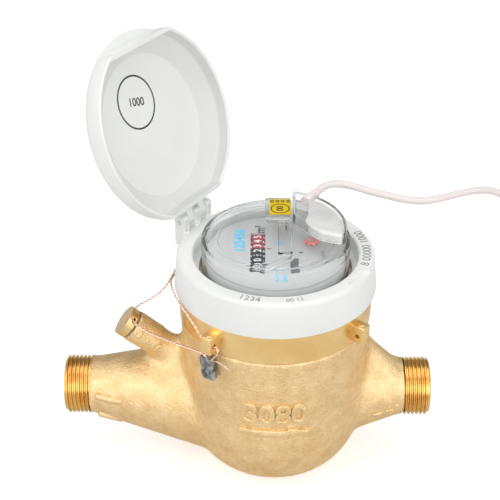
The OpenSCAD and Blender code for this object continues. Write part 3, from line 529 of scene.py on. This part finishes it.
# Wet side: the moulded strainer, jet ring and vane wheel that the water turns, the sealing plate above
# them and the ring that holds it down. Plain acetal mouldings, a rubber seal, a steel pivot, a magnet.
def dress(made, *names):
    for name in names:
        mesh = nodes[name].data
        mesh.materials.clear()
        mesh.materials.append(made)


acetal = finish("natural_acetal", (0.80, 0.79, 0.74), roughness=0.42)
mottle(acetal, scale=90, dark=(0.77, 0.76, 0.70), light=(0.83, 0.82, 0.78))
grain(acetal, scale=1200, depth=0.04, strength=0.3)
vane_blue = finish("vane_moulding", (0.42, 0.52, 0.60), roughness=0.4)
mottle(vane_blue, scale=120, dark=(0.38, 0.48, 0.56), light=(0.46, 0.56, 0.64))
black_rubber = finish("seal_rubber", (0.03, 0.03, 0.03), roughness=0.7)
mottle(black_rubber, scale=300, dark=(0.022, 0.022, 0.022), light=(0.045, 0.045, 0.045))
bright_steel = finish("drawn_steel", (0.62, 0.62, 0.61), roughness=0.25, metallic=1.0)
mottle(bright_steel, scale=200, dark=(0.55, 0.55, 0.54), light=(0.68, 0.68, 0.67))
ferrite = finish("ferrite_magnet", (0.10, 0.095, 0.09), roughness=0.5)
mottle(ferrite, scale=500, dark=(0.08, 0.075, 0.07), light=(0.13, 0.12, 0.115))
dress(acetal, "measuring_chamber", "chamber_lid", "strainer_basket", "slip_ring")
dress(vane_blue, "impeller")
dress(black_rubber, "plate_seal")
dress(bright_steel, "impeller_pivot")
dress(ferrite, "impeller_magnet")
dress(turned_brass, "pressure_plate")


# Collar: a ring moulded in white plastic, snapped over the head ring's spigot. It has a rounded edge,
# a finger notch opposite the hinge and three hinge legs.
def carved(bm, *cutters):
    tools = [holding(cutter, "cutter") for cutter in cutters]
    for tool in tools:
        scene.collection.objects.link(tool)
    out = applied(bm, *[("BOOLEAN", {"operation": "DIFFERENCE", "solver": "MANIFOLD", "object": tool})
                        for tool in tools])
    for tool in tools:
        bpy.data.objects.remove(tool)
    bmesh.ops.remove_doubles(out, verts=out.verts, dist=2e-6)
    return out


white_moulding = finish("white_moulding", (0.88, 0.89, 0.87), roughness=0.36)
mottle(white_moulding, scale=40, dark=(0.865, 0.875, 0.855), light=(0.895, 0.905, 0.885))
uneven_gloss(white_moulding, scale=700, low=0.32, high=0.42)
grain(white_moulding, scale=2200, depth=0.03, strength=0.35)

collar_top, collar_seat = 105.8, spigot_top + 0.3
joints = {joint["name"]: joint for joint in frame["joints"]}
hinge_reach, hinge_turn = 42.6, 328.5
at_hinge = Matrix.Translation(joints["lid_hinge"]["pos_m"]) @ swing(hinge_turn, "Z")
knuckle_r, knuckle_step = 2.6, 4.4
leg_low, leg_flat = -11.5, 1.7
skirt_bore, collar_bore = 40.9, 32.9
collar_line = [(skirt_bore, ring_top), (43.8, ring_top), (42.5, collar_top), (36.3, collar_top),
               (35.6, collar_top - 0.7), (35.4, 99.2), (collar_bore, 98.4), (collar_bore, collar_seat),
               (skirt_bore, collar_seat)]
ring = turned(collar_line, {1: 0.5, 2: 1.9, 3: 0.4, 4: 0.4, 5: 1.2, 6: 0.3}, 160)
notch_size, notch_reach = (10, 14, 3.2), 43.5
notch = moved(bar(notch_size, (notch_reach, 0, collar_top), 0.4), swing(hinge_turn, "Z"))
leg_line = [(-knuckle_r, leg_low), (knuckle_r, leg_low), (knuckle_r, leg_flat), (leg_flat, knuckle_r),
            (-leg_flat, knuckle_r), (-knuckle_r, leg_flat)]
leg_wide, leg_hole_r = 4.1, 1.12
pocket_size, pocket_at = (2.8, 2.3, 5.4), (2.7, 0, -1.7)
legs = []
for i in (-2, 0, 2):
    leg = carved(drilled(leg_line, (0, 0), leg_hole_r, leg_wide, 0.4), bar(pocket_size, pocket_at, 0.25))
    legs.append(moved(leg, at_hinge @ shift(0, i * knuckle_step, 0)))
collar = gather(carved(ring, notch), *legs)
piece("collar_moulding", collar, white_moulding, "collar", smooth=35)


# Print on the collar: plain numbers in grey ink, pad-printed round the flat top of the rim and read from
# outside it.
grey_ink = finish("grey_ink", (0.22, 0.22, 0.21), roughness=0.6)
mottle(grey_ink, scale=900, dark=(0.17, 0.17, 0.165), light=(0.30, 0.30, 0.29))

ink, sunk = 0.04, 0.01
rim_print_r = 39.2


def round_rim(words, size, centre):
    bm = raised(lettering(words, size), (0, 0, ink))
    for v in bm.verts:
        a = math.radians(centre) + v.co.x / (rim_print_r * mm)
        r = rim_print_r * mm - v.co.y
        v.co = (r * math.cos(a), r * math.sin(a), (collar_top - sunk) * mm + v.co.z)
    return bm


rim_words = [round_rim("1234", 4.6, 254), round_rim("00 12", 3.2, 281), round_rim("8 00000 1000", 5.2, 363)]
piece("collar_print", gather(*rim_words), grey_ink)


# Register: the movement in its can, a row of eight number drums and the grey printed dial. The first
# five drums are black, the last three red, all with white figures.
can_grey = finish("can_grey", (0.67, 0.67, 0.665), roughness=0.4)
mottle(can_grey, scale=80, dark=(0.64, 0.64, 0.635), light=(0.70, 0.70, 0.695))
dial_grey = finish("dial_grey", (0.47, 0.47, 0.47), roughness=0.5)
mottle(dial_grey, scale=60, dark=(0.45, 0.45, 0.45), light=(0.49, 0.49, 0.49))
drum_black = finish("drum_black", (0.022, 0.027, 0.042), roughness=0.4)
mottle(drum_black, scale=250, dark=(0.018, 0.022, 0.035), light=(0.032, 0.038, 0.055))
drum_red = finish("drum_red", (0.42, 0.055, 0.085), roughness=0.4)
mottle(drum_red, scale=250, dark=(0.38, 0.045, 0.07), light=(0.46, 0.07, 0.10))
star_red = finish("star_red", (0.85, 0.22, 0.20), roughness=0.35)
mottle(star_red, scale=300, dark=(0.82, 0.18, 0.17), light=(0.88, 0.27, 0.25))
white_figures = finish("white_figures", (0.86, 0.86, 0.84), roughness=0.5)
mottle(white_figures, scale=900, dark=(0.80, 0.80, 0.78), light=(0.90, 0.90, 0.88))
blue_ink = finish("blue_ink", (0.06, 0.50, 0.76), roughness=0.5)
mottle(blue_ink, scale=900, dark=(0.05, 0.46, 0.72), light=(0.08, 0.55, 0.80))
black_ink = finish("black_ink", (0.03, 0.03, 0.035), roughness=0.55)
mottle(black_ink, scale=900, dark=(0.025, 0.025, 0.03), light=(0.06, 0.06, 0.065))
shade_grey = finish("shade_grey", (0.10, 0.10, 0.105), roughness=0.5)
mottle(shade_grey, scale=300, dark=(0.08, 0.08, 0.085), light=(0.14, 0.14, 0.145))
dress(vane_blue, "follower_arbor", "star_arbor")
dress(ferrite, "follower_magnet")
dress(bright_steel, "drum_shaft")
dress(can_grey, "register_base", "movement_plate")
dress(dial_grey, "dial_plate")
dress(star_red, "pulse_star")
dress(drum_black, *[f"number_drum_{i}" for i in range(1, 6)])
dress(drum_red, *[f"number_drum_{i}" for i in range(6, 9)])

skirt_in, skirt_out, skirt_low, skirt_top = 29.1, 29.5, 98.3, 103.95
skirt_line = [(skirt_in, skirt_low), (skirt_out, skirt_low), (skirt_out, skirt_top), (skirt_in, skirt_top)]
piece("dial_skirt", turned(skirt_line, None, 160), can_grey)

drum_r = 6.5 * mm
figure_size, figure_bold, figure_ink, longest_edge = 4.6, 0.08, 0.05, 0.8 * mm
reading = (0, 0, 0, 1, 2, 3, 4, 5)


def drum_figure(digit, shown, axle):
    bm = lettering(str(digit), figure_size, bold=figure_bold)
    bmesh.ops.subdivide_edges(bm, edges=[e for e in bm.edges if e.calc_length() > longest_edge], cuts=1)
    raised(bm, (0, 0, figure_ink))
    for v in bm.verts:
        a = v.co.y / drum_r - math.radians(36) * (digit - shown)
        r = drum_r + v.co.z - sunk * mm
        v.co = Vector(axle) + Vector((-r * math.sin(a), v.co.x, r * math.cos(a)))
    return bm


for i, shown in enumerate(reading, 1):
    axle = joints[f"drum_{i}_spin"]["pos_m"]
    figures = [drum_figure(digit, shown, axle) for digit in range(10)]
    piece(f"drum_{i}_figures", gather(*figures), white_figures, body=f"drum_{i}")

dial_top = low_top("dial_plate")[1]


def printed(bm, matrix):
    return moved(raised(bm, (0, 0, ink)), matrix)


def on_dial(words, size, x, y, angle=90, bold=0.0):
    return printed(lettering(words, size, bold=bold), shift(x, y, dial_top - sunk) @ swing(angle, "Z"))


def patch(wide, deep, x, y):
    return bar((wide, deep, 0.05), (x, y, dial_top + 0.02), 0.01)


ticks = [patch(1.7, 0.7, -2.9, 1.9), patch(1.7, 0.7, 10.8, -1.1), patch(0.8, 4.2, 4.8, 19.6)]
units = [on_dial("m³", 6.0, -6.6, 18.2, bold=0.12), on_dial("x 0.001", 2.2, 20.5, -2.5)]
numbers = [on_dial("123456", 6.4, -15.5, 8.6, bold=0.22), on_dial("00", 3.6, 1.6, 6.5, bold=0.1),
           on_dial("2 5", 4.4, 2.2, -22.1, 0, 0.1)]
marker_size, marker_x, marker_y = (3.6, 10.6, 0.12), 7.9, -11.4
marker = bar(marker_size, (marker_x, marker_y, dial_top + 0.06), 0.04)
piece("dial_print_black", gather(*units, *ticks), black_ink)
piece("dial_print_blue", gather(*numbers), blue_ink)
piece("dial_marker", marker, shade_grey)


# Register cover: one clear moulding pressed over the can, with a stepped rim, a moulded groove and a
# bead round its side. The clear plastic is crystal polycarbonate.
def clear(name, tint, roughness=0.03, bend=1.08):
    made = finish(name, tint, roughness)
    surface(made, {"Transmission Weight": 1.0, "IOR": bend, "Coat Weight": 0.8, "Coat Roughness": 0.08})
    tree = made.node_tree
    solid = tree.nodes["Principled BSDF"].outputs[0]
    window = added(tree, "BsdfTransparent", {"Color": (0.94, 0.95, 0.95, 1)}).outputs[0]
    shadow = added(tree, "LightPath").outputs["Is Shadow Ray"]
    either = added(tree, "MixShader", {0: shadow, 1: solid, 2: window}).outputs[0]
    wired(tree, tree.nodes["Material Output"], {"Surface": either})
    return made


crystal = clear("crystal_cover", (0.97, 0.98, 0.98))
grain(crystal, scale=120, depth=0.06, strength=0.25, detail=1.0)

cover_low, cover_top = low_top("register_cover")
cover_under, step_z = 112, 112.6
cover_in, step_r, cover_r, bead_r = 29.75, 30.2, 31.7, 31.95
groove_z, ring_z = cover_top - 0.7, cover_under - 0.4
outside = [(0, cover_top), (27.6, cover_top), (27.9, groove_z), (28.4, groove_z), (28.7, cover_top),
           (step_r, cover_top), (step_r, step_z), (cover_r, step_z)]
bead = [(cover_r, 109.4), (bead_r, 109.2), (bead_r, 108.2), (cover_r, 108), (cover_r, cover_low)]
inside = [(cover_in, cover_low), (cover_in, cover_under), (25.2, cover_under), (24.9, ring_z), (24.3, ring_z),
          (24.0, cover_under), (0, cover_under)]
cover = turned(outside + bead + inside, {5: 0.5, 6: 0.3, 7: 0.5, 14: 0.8}, 160, closed=False)
piece("cover_moulding", cover, crystal, "register_cover")


# Pulse sensor: a clear housing shaped as a piece of the cover's circle, with the reed switch potted in
# white resin inside, clipped to a clear rail with a yellow label and a clear seal loop.
sensor_r, sensor_left = 30, 7.4
sensor_front = [(sensor_left, 7.3), (18.2, -5.6), (28.3, -9.6)]


def sensor_plan(inset, left, low, high, corner, edge, back_y=None):
    bm = bmesh.new()
    bmesh.ops.create_circle(bm, cap_ends=True, segments=64, radius=(sensor_r - inset) * mm)
    cuts = [((left + inset, 0), (-1, 0))]
    for a, b in zip(sensor_front, sensor_front[1:]):
        run = Vector((b[0] - a[0], b[1] - a[1])).normalized()
        cuts.append(((a[0] - run.y * inset, a[1] + run.x * inset), (run.y, -run.x)))
    if back_y is not None:
        cuts.append(((0, back_y), (0, 1)))
    for (x, y), away in cuts:
        cut(bm, (x * mm, y * mm, 0), (*away, 0))

    def turn_at(v):
        a, b = (e.other_vert(v).co - v.co for e in v.link_edges)
        return math.pi - a.angle(b)

    least_turn, clearing = 0.2, 1.3 * corner * mm
    tips = [v for v in bm.verts if turn_at(v) > least_turn]
    close = [v for v in bm.verts if v not in tips and min((v.co - t.co).length for t in tips) < clearing]
    bmesh.ops.dissolve_verts(bm, verts=close)
    eased(bm, tips, corner, 4, "VERTICES")
    moved(bm, shift(0, 0, low))
    raised(bm, (0, 0, high - low))
    eased(bm, [e for e in bm.edges if all(abs(v.co.z - high * mm) < 1e-6 for v in e.verts)], edge, 6)
    return bm


housing_clear = clear("housing_clear", (0.97, 0.97, 0.97), roughness=0.05, bend=1.16)
grain(housing_clear, scale=160, depth=0.08, strength=0.3, detail=1.0)
housing_low, housing_top, housing_wall = cover_top + 0.02, low_top("sensor_housing")[1], 1.2
shell = sensor_plan(0, sensor_left, housing_low, housing_top, corner=2.2, edge=1.4)
hollow = sensor_plan(housing_wall, sensor_left, cover_under, housing_top - housing_wall, corner=1.6, edge=0.6)
piece("sensor_shell", carved(shell, hollow), housing_clear, "sensor_housing", smooth=12)

white_resin = finish("white_resin", (0.62, 0.615, 0.60), roughness=0.45)
mottle(white_resin, scale=150, dark=(0.59, 0.585, 0.57), light=(0.65, 0.645, 0.63))
grain(white_resin, scale=500, depth=0.1, strength=0.35)
potting = sensor_plan(1.5, 12.5, cover_top + 0.05, 117.3, corner=1.6, edge=0.6, back_y=22)
dome_radii, dome_at = Vector((7.2, 8.4, 1.9)) * mm, (20.2, 7.2, 116.2)
dome = bmesh.new()
bmesh.ops.create_uvsphere(dome, u_segments=48, v_segments=24, radius=1.0)
bmesh.ops.scale(dome, vec=dome_radii, verts=dome.verts)
moved(dome, shift(*dome_at))
piece("potting_resin", gather(potting, dome), white_resin, "sensor_potting")
dress(vane_blue, "reed_switch")

rail_size, rail_at = Vector((6, 25.2, 1.8)) * mm, (3.8, -4.6, 114.93)
rail_wall, trough_deep = 0.9 * mm, 1.2 * mm
block_size, block_at = (11.5, 18, 3.15), (1.05, 17, 115.62)
rail = bmesh.new()
bmesh.ops.create_cube(rail, size=1.0)
bmesh.ops.scale(rail, vec=rail_size, verts=rail.verts)
trough = [f for f in rail.faces if f.normal.z > 0.9]
bmesh.ops.inset_region(rail, faces=trough, thickness=rail_wall)
bmesh.ops.translate(rail, vec=(0, 0, -trough_deep), verts=trough[0].verts)
eased(rail, sharp_edges(rail), 0.2, 2)
moved(rail, shift(*rail_at))
clip_block = bar(block_size, block_at, 0.6)
piece("clip_rail", gather(rail, clip_block), housing_clear, "clip_bar", smooth=8)

label_yellow = finish("label_yellow", (0.76, 0.53, 0.004), roughness=0.55)
mottle(label_yellow, scale=400, dark=(0.75, 0.52, 0.003), light=(0.81, 0.58, 0.006))
surface(label_yellow, {"Specular IOR Level": 0.1})
label_x, label_z, label_thick = 1.95, 117.36, 0.3
label = bar((9.3, 13.3, label_thick), (label_x, 17.15, label_z), 0.1)
piece("label_plate", label, label_yellow, "seal_label")


def hoop(radius, width, matrix):
    bm = bmesh.new()
    for r in (radius, radius - width):
        bmesh.ops.create_circle(bm, segments=64, radius=r * mm)
    bmesh.ops.bridge_loops(bm, edges=bm.edges[:])
    return printed(bm, matrix)


at_label = shift(label_x, 15.4, label_z + label_thick / 2)
label_marks = [hoop(4.2, 0.55, at_label), printed(lettering("00", 4.2, bold=0.1), at_label @ swing(90, "Z")),
               printed(lettering("0 0 0 0", 3.0, bold=0.1), at_label @ shift(0, 6.3, 0))]
piece("label_print", gather(*label_marks), black_ink)


def bezier(name, points):
    line = bpy.data.curves.new(name, "CURVE")
    line.dimensions = "3D"
    line.use_fill_caps = True
    knots = line.splines.new("BEZIER").bezier_points
    knots.add(len(points) - 1)
    for knot, p in zip(knots, points):
        knot.co = Vector(p) * mm
        knot.handle_left_type = knot.handle_right_type = "AUTO"
    return line


def as_solid(line):
    bm = worked_out(bpy.data.objects.new(line.name, line))
    bmesh.ops.remove_doubles(bm, verts=bm.verts, dist=1e-7)
    bmesh.ops.recalc_face_normals(bm, faces=bm.faces)
    return bm


def rod(points, radius, closed=False):
    line = bezier("rod", points)
    line.bevel_depth = radius * mm
    line.bevel_resolution = 3
    line.resolution_u = 6
    line.splines[0].use_cyclic_u = closed
    return as_solid(line)


loop_half, loop_r, loop_wire_r = 6, 1.9, 0.9
loop_angles = [math.radians(15 + 30 * k) for k in range(12)]
loop_line = [(math.copysign(loop_half, math.cos(a)) + loop_r * math.cos(a), loop_r * math.sin(a), 0)
             for a in loop_angles]
loop = moved(rod(loop_line, loop_wire_r, closed=True), shift(0, -24.8, 114.95) @ swing(41, "Z"))
piece("seal_loop_rod", loop, crystal, "seal_loop")


# Sensor lead: a thin two-core cable in a pale jacket, from a ribbed strain relief out past the right rear
# of the meter and down to the table, its length wound in a tied coil, its cores ending in crimped ferrules.
gland_z, gland_turn, gland_tip = 116.5, 60, 36
gland_line = [(0, 26), (2.4, 26), (2.4, 31), (2.05, 31.2), (2.05, 31.8), (2.3, 32), (2.3, 32.6), (2.0, 32.8),
              (2.0, 33.4), (2.22, 33.6), (2.22, 34.2), (1.95, 34.4), (1.95, 35), (2.15, 35.2),
              (2.15, gland_tip), (0, gland_tip)]
gland = turned(gland_line, {1: 0.3, 2: 0.3, 14: 0.3}, 48, closed=False)
moved(gland, shift(0, 0, gland_z) @ swing(gland_turn, "Z") @ swing(90, "Y"))
pale_jacket = finish("pale_jacket", (0.86, 0.79, 0.765), roughness=0.42)
mottle(pale_jacket, scale=130, dark=(0.84, 0.77, 0.745), light=(0.88, 0.81, 0.785))
grain(pale_jacket, scale=900, depth=0.05, strength=0.3)
piece("lead_gland", gland, pale_jacket, "cable_gland")

route = [(18, 31.177, 116.5), (19, 32.909, 116.5), (21.4, 36, 116.9), (24.5, 38.4, 117), (28.1, 39.9, 116.6),
         (32, 40.4, 115.8), (37, 40.2, 114.6), (43, 39.6, 113), (51, 38.8, 111.2), (60, 38.4, 109.4),
         (67.5, 39.2, 108.4), (74, 42, 107.9), (80.5, 46, 107.3), (88, 51, 106.4), (95.5, 55.7, 105),
         (103, 59.7, 102.3), (109.5, 62.5, 97.5), (114.5, 64, 90.5), (117.5, 64.8, 82), (119.2, 65, 73),
         (120, 65, 62), (120.5, 65, 51), (121.2, 65, 40), (122.8, 65, 29), (126, 65, 18.8), (131, 65, 10.5),
         (138, 65, 5), (146, 65, 2.6)]
lead_d = 3.5
coil_x, coil_y, coil_low = 154, 89.5, 0.8 + lead_d / 2
coil_in, coil_mid, coil_out = 17.5, 21, 24.5
rows = [(coil_out, 0), (coil_mid, 0), (coil_in, 0), (coil_in, 1), (coil_mid, 1), (coil_out, 1),
        (coil_out, 2), (coil_mid, 2), (coil_in, 2), (coil_mid, 3)]
coil_step, coil_sweep, coil_start = 15, 3390, -90
cross_from, cross_over, climb_bow = 195, 155, 1.5
for wound in range(0, coil_sweep + 1, coil_step):
    row = wound // 360
    (r0, z0), (r1, z1) = rows[row], rows[min(row + 1, len(rows) - 1)]
    s = min(max((wound - 360 * row - cross_from) / cross_over, 0), 1)
    s = s * s * (3 - 2 * s)
    bow = climb_bow * math.sin(math.pi * s) * (1 if r0 == coil_out else -1) if z1 > z0 else 0
    r = r0 + (r1 - r0) * s + bow
    z = coil_low + lead_d * (z0 + (z1 - z0) * s)
    a = math.radians(wound + coil_start)
    route.append((coil_x + r * math.cos(a), coil_y + r * math.sin(a), z))
lead_curve = bezier("sensor_lead", route)
lead_curve.bevel_depth = lead_d / 2 * mm
lead_curve.bevel_resolution = 3
lead_curve.resolution_u = 4
lead_curve.materials.append(pale_jacket)
lead = bpy.data.objects.new("sensor_lead", lead_curve)
scene.collection.objects.link(lead)
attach(lead, "meter")
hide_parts("pulse_cable", "cable_coil")

tie_black = finish("tie_black", (0.03, 0.03, 0.032), roughness=0.45)
mottle(tie_black, scale=300, dark=(0.025, 0.025, 0.027), light=(0.045, 0.045, 0.047))
dress(tie_black, "coil_tie")
ferrule_tin = finish("ferrule_tin", (0.66, 0.64, 0.60), roughness=0.3, metallic=1.0)
mottle(ferrule_tin, scale=500, dark=(0.60, 0.58, 0.54), light=(0.72, 0.70, 0.66))
core_brown = finish("core_brown", (0.16, 0.07, 0.03), roughness=0.45)
mottle(core_brown, scale=500, dark=(0.13, 0.055, 0.025), light=(0.19, 0.085, 0.04))
end_turn, core_r, core_side = 160, 0.55, 0.85
at_end = (shift(coil_x, coil_y, coil_low + 3 * lead_d) @ swing(end_turn, "Z") @ shift(coil_mid, 0, 0) @
          swing(-90, "X"))
sleeve_line = [(0, 0), (1.9, 0), (1.9, 2.4), (1.2, 3.1), (0, 3.1)]
core_line = [(0, 2.9), (core_r, 2.9), (core_r, 9.2), (0, 9.2)]
ferrule_line = [(0, 8.8), (0.9, 8.8), (0.9, 9.6), (0.7, 10), (0.75, 10.8), (0.62, 11.2), (0.75, 11.6),
                (0.62, 12), (0.75, 12.4), (0.7, 15), (0, 15)]


def at_cores(outline, steps):
    return gather(*[moved(turned(outline, None, steps, closed=False), at_end @ shift(x, 0, 0))
                    for x in (-core_side, core_side)])


sleeve = moved(turned(sleeve_line, {1: 0.2, 2: 0.4}, 32, closed=False), at_end)
end_sleeve = piece("lead_sleeve", sleeve, tie_black, "cable_end")
end_cores = piece("lead_cores", at_cores(core_line, 20), core_brown)
end_ferrules = piece("lead_ferrules", at_cores(ferrule_line, 24), ferrule_tin)


# Lid: a shallow dish moulded in the same white plastic, hung on a steel hinge pin and shown open. Its chord
# side carries two hinge arms; at the far end a straight wall leaves the top plate free as a thumb grip.
lid_open, rim_drop = 112, -5.2
at_arms = at_hinge @ swing(-lid_open, "Y")
lid_place = at_arms @ shift(hinge_reach, 0, rim_drop)
lid_r, lid_high, lid_floor = 41.8, 11.2, 9.4
chord_x, chord_in, grip_wall_in = -38, -36.2, 34.7


def chorded(bm, x, side, edge=0.0):
    cut(bm, (x * mm, 0, 0), (side, 0, 0))
    bmesh.ops.holes_fill(bm, edges=[e for e in bm.edges if e.is_boundary], sides=0)
    bmesh.ops.recalc_face_normals(bm, faces=bm.faces)
    if edge:
        eased(bm, [e for e in bm.edges if all(abs(v.co.x - x * mm) < 1e-6 for v in e.verts)], edge)
    return bm


dish_line = [(0, 0), (lid_r, 0), (lid_r, lid_high), (0, lid_high)]
hollow_line = [(0, -1), (41, -1), (40.9, 0), (40.2, 0.7), (39.3, 5.0), (31, lid_floor), (0, lid_floor)]
dish = chorded(turned(dish_line, {1: 0.7, 2: 5.0}, 192, closed=False), chord_x, -1, 0.15)
dish_hollow = turned(hollow_line, {3: 0.3, 4: 0.6, 5: 0.5}, 192, closed=False)
chorded(chorded(dish_hollow, chord_in, -1), grip_wall_in, 1)
grip_size, grip_at = (20, 60, 20), (46.5, 0, -2)
dish_shell = carved(dish, dish_hollow, bar(grip_size, grip_at, 0.5))
# Painted shade: the inward faces of the dish below its floor take darker copies of the white moulding. The
# slope gets one darker grey and the steeper rim wall a darker grey still, as the shade that falls inside the
# lid.
band_top, band_r = (lid_floor - 0.1) * mm, 40.3 * mm
for f in dish_shell.faces:
    at, out = f.calc_center_median(), f.normal
    faces_in = out.x * at.x + out.y * at.y < -0.1 * at.xy.length
    if faces_in and at.z < band_top and at.xy.length < band_r:
        f.material_index = 1 if out.z < -0.5 else 2
eighths = [a * math.pi / 8 for a in range(9)]
arm_reach, arm_wide, arm_hole_r = 5.1, 4.0, 1.15
arm_line = [(arm_reach, -knuckle_r), (arm_reach, knuckle_r)]
arm_line += [(-knuckle_r * math.sin(a), knuckle_r * math.cos(a)) for a in eighths]
arms = [moved(drilled(arm_line, (0, 0), arm_hole_r, arm_wide, 0.45), at_arms @ shift(0, i * knuckle_step, 0))
        for i in (-1, 1)]
# The two band materials are the white moulding painted darker as painted shade, with a rougher, matte gloss.
matte_band_painted_shade = finish("matte_band_painted_shade", (0.78, 0.785, 0.775), roughness=0.6)
mottle(matte_band_painted_shade, scale=60, dark=(0.765, 0.77, 0.76), light=(0.795, 0.80, 0.79))
grain(matte_band_painted_shade, scale=2600, depth=0.05, strength=0.5)
deep_band_painted_shade = finish("deep_band_painted_shade", (0.72, 0.725, 0.715), roughness=0.6)
mottle(deep_band_painted_shade, scale=60, dark=(0.705, 0.71, 0.70), light=(0.735, 0.74, 0.73))
grain(deep_band_painted_shade, scale=2600, depth=0.05, strength=0.5)
lid_mesh = gather(moved(dish_shell, lid_place), *arms)
lid = piece("lid_moulding", lid_mesh, white_moulding, "lid", body="lid", smooth=35)
lid.data.materials.append(matte_band_painted_shade)
lid.data.materials.append(deep_band_painted_shade)
dress(bright_steel, "hinge_pin")


# Print inside the lid: a plain ring stamp with a number in black ink, pad-printed on the flat of the dish
# and turned to be read from the front while the lid is open.
stamp_turn = 106.08
on_stamp = lid_place @ shift(12.3, -5.2, lid_floor + sunk) @ swing(stamp_turn, "Z") @ swing(180, "X")
stamp = gather(hoop(11.8, 0.8, on_stamp), printed(lettering("1000", 5.0, bold=0.08), on_stamp))
piece("lid_print", stamp, black_ink, body="lid")


# Regulating plug: a brass screw turned from bar, with a cross-drilled head for the seal wire. It closes the
# boss on a fibre gasket, over the screw that sets the meter's by-pass.
plug_brass = finish("plug_brass", (0.74, 0.54, 0.26), roughness=0.3, metallic=1.0)
mottle(plug_brass, scale=140, dark=(0.66, 0.48, 0.24), light=(0.80, 0.58, 0.27))
uneven_gloss(plug_brass, scale=500, low=0.24, high=0.38)
fibre = finish("gasket_fibre", (0.30, 0.20, 0.10), roughness=0.7)
mottle(fibre, scale=600, dark=(0.24, 0.155, 0.075), light=(0.36, 0.245, 0.13))
dress(plug_brass, "adjusting_plug")
dress(fibre, "plug_gasket")
dress(turned_brass, "regulating_screw")


# Seal: two copper wires twisted together, threaded through the plug and two lugs, with both ends pinched
# in a lead pellet that the sealing pliers have crushed.
wire_route = [(-27.6, -34.6, 72), (-25.8, -37.4, 76), (-24.2, -38.6, 79.5), (-24.4, -38, 81.3),
              (-26, -36.8, 81.5), (-29, -34.5, 81.5), (-31, -33, 83), (-33.5, -30.3, 86.5),
              (-36.5, -26.6, 89.5), (-39.6, -22, 91.4), (-42.5, -15.6, 92.3), (-44.5, -8, 92),
              (-45.2, -1, 90.5), (-44.6, 7, 88), (-43, 14.5, 85), (-40.7, 20.5, 82.5), (-38.5, 24, 81.6),
              (-35.8, 27.4, 81.5), (-33.4, 30.5, 81.5), (-32.8, 32.6, 82), (-34.4, 33.8, 82.6),
              (-37.4, 32.4, 83), (-41, 27.3, 83.6), (-44, 20.5, 84), (-46.5, 13, 83), (-50, 8, 80),
              (-55, 6, 76.5), (-59.3, 6.2, 73.6), (-61.6, 6, 72.1), (-62.1, 4.2, 71.8), (-62.1, 0, 71.8),
              (-62.1, -4.2, 71.8), (-61.6, -6, 71.6), (-60, -7.6, 71), (-57.5, -9.3, 70.3),
              (-50, -15.8, 71), (-42, -22.8, 72.5), (-34.5, -29.8, 74.5), (-30.3, -33.6, 75),
              (-29, -34.2, 73.6), (-28.6, -33.8, 71.5)]
pale_copper = finish("pale_copper", (0.86, 0.62, 0.53), roughness=0.32, metallic=1.0)
mottle(pale_copper, scale=700, dark=(0.80, 0.55, 0.46), light=(0.92, 0.70, 0.62))
strand_side, strand_r, twist_pitch = 0.34, 0.22, 4.2
section = bpy.data.curves.new("strand_pair", "CURVE")
section.dimensions = "2D"
pair = section.splines.new("POLY")
pair.points.add(11)
for k, point in enumerate(pair.points):
    side = 1 if k < 6 else -1
    a = math.radians(-150 + 60 * (k % 6))
    point.co = (side * (strand_side + strand_r * math.cos(a)) * mm, side * strand_r * math.sin(a) * mm, 0, 1)
pair.use_cyclic_u = True
twist = bezier("twist", wire_route)
twist.resolution_u = 24
run = 0.0
for knot, p, before in zip(twist.splines[0].bezier_points, wire_route, wire_route[:1] + wire_route):
    run += (Vector(p) - Vector(before)).length
    knot.tilt = 2 * math.pi * run / twist_pitch
bare = worked_out(bpy.data.objects.new("twist", twist))
bare.free()
twist.bevel_mode = "OBJECT"
twist.bevel_object = bpy.data.objects.new("strand_pair", section)
wire_mesh = as_solid(twist)
bpy.data.objects.remove(twist.bevel_object)
wire = piece("seal_wire_twist", wire_mesh, pale_copper, "seal_wire")

dull_lead = finish("dull_lead", (0.13, 0.135, 0.145), roughness=0.48, metallic=0.75)
mottle(dull_lead, scale=420, dark=(0.10, 0.10, 0.105), light=(0.46, 0.47, 0.49), spread=(0.35, 0.68))
grain(dull_lead, scale=500, depth=0.5, strength=0.7, detail=4.0)
pellet_at, pellet_lean = Vector((-28.4, -33.2, 68)), -9
pellet_turn = math.degrees(math.atan2(pellet_at.y, pellet_at.x)) + 90
pellet_size = (7, 3.4, 11)
jaw_x, jaw_z, jaw_deep, jaw_spread = 1.4, 0.8, 0.75, 2.2
nip_z, nip_deep, nip_spread = -3.4, 0.5, 1.6
front_share, back_share = 0.9, 0.5
pellet = bar(pellet_size, (0, 0, 0), 1.2)
bmesh.ops.subdivide_edges(pellet, edges=pellet.edges[:], cuts=3, use_grid_fill=True)
for v in pellet.verts:
    u, w = v.co.x / mm, v.co.z / mm
    jaws = jaw_deep * math.exp(-((abs(u) - jaw_x) ** 2 + (w - jaw_z) ** 2) / jaw_spread)
    nip = nip_deep * math.exp(-((w - nip_z) ** 2 + u * u) / nip_spread)
    v.co.y -= math.copysign((jaws + nip) * mm, v.co.y) * (front_share if v.co.y < 0 else back_share)
    v.co.x += 0.35 * mm * math.sin(1.3 * w + 0.6)
    v.co.z += 0.3 * mm * math.sin(1.9 * u)
soften(pellet, pellet.verts, 1)
moved(pellet, shift(*pellet_at) @ swing(pellet_turn, "Z") @ swing(pellet_lean, "Y"))
seal = piece("lead_pellet", pellet, dull_lead, "lead_seal")
tail_line = [(-26.6, -35.2, 72.4), (-24.6, -37, 73.6), (-22, -38.6, 73), (-19.6, -39.8, 71.6)]
piece("wire_tail", rod(tail_line, 0.3), pale_copper)
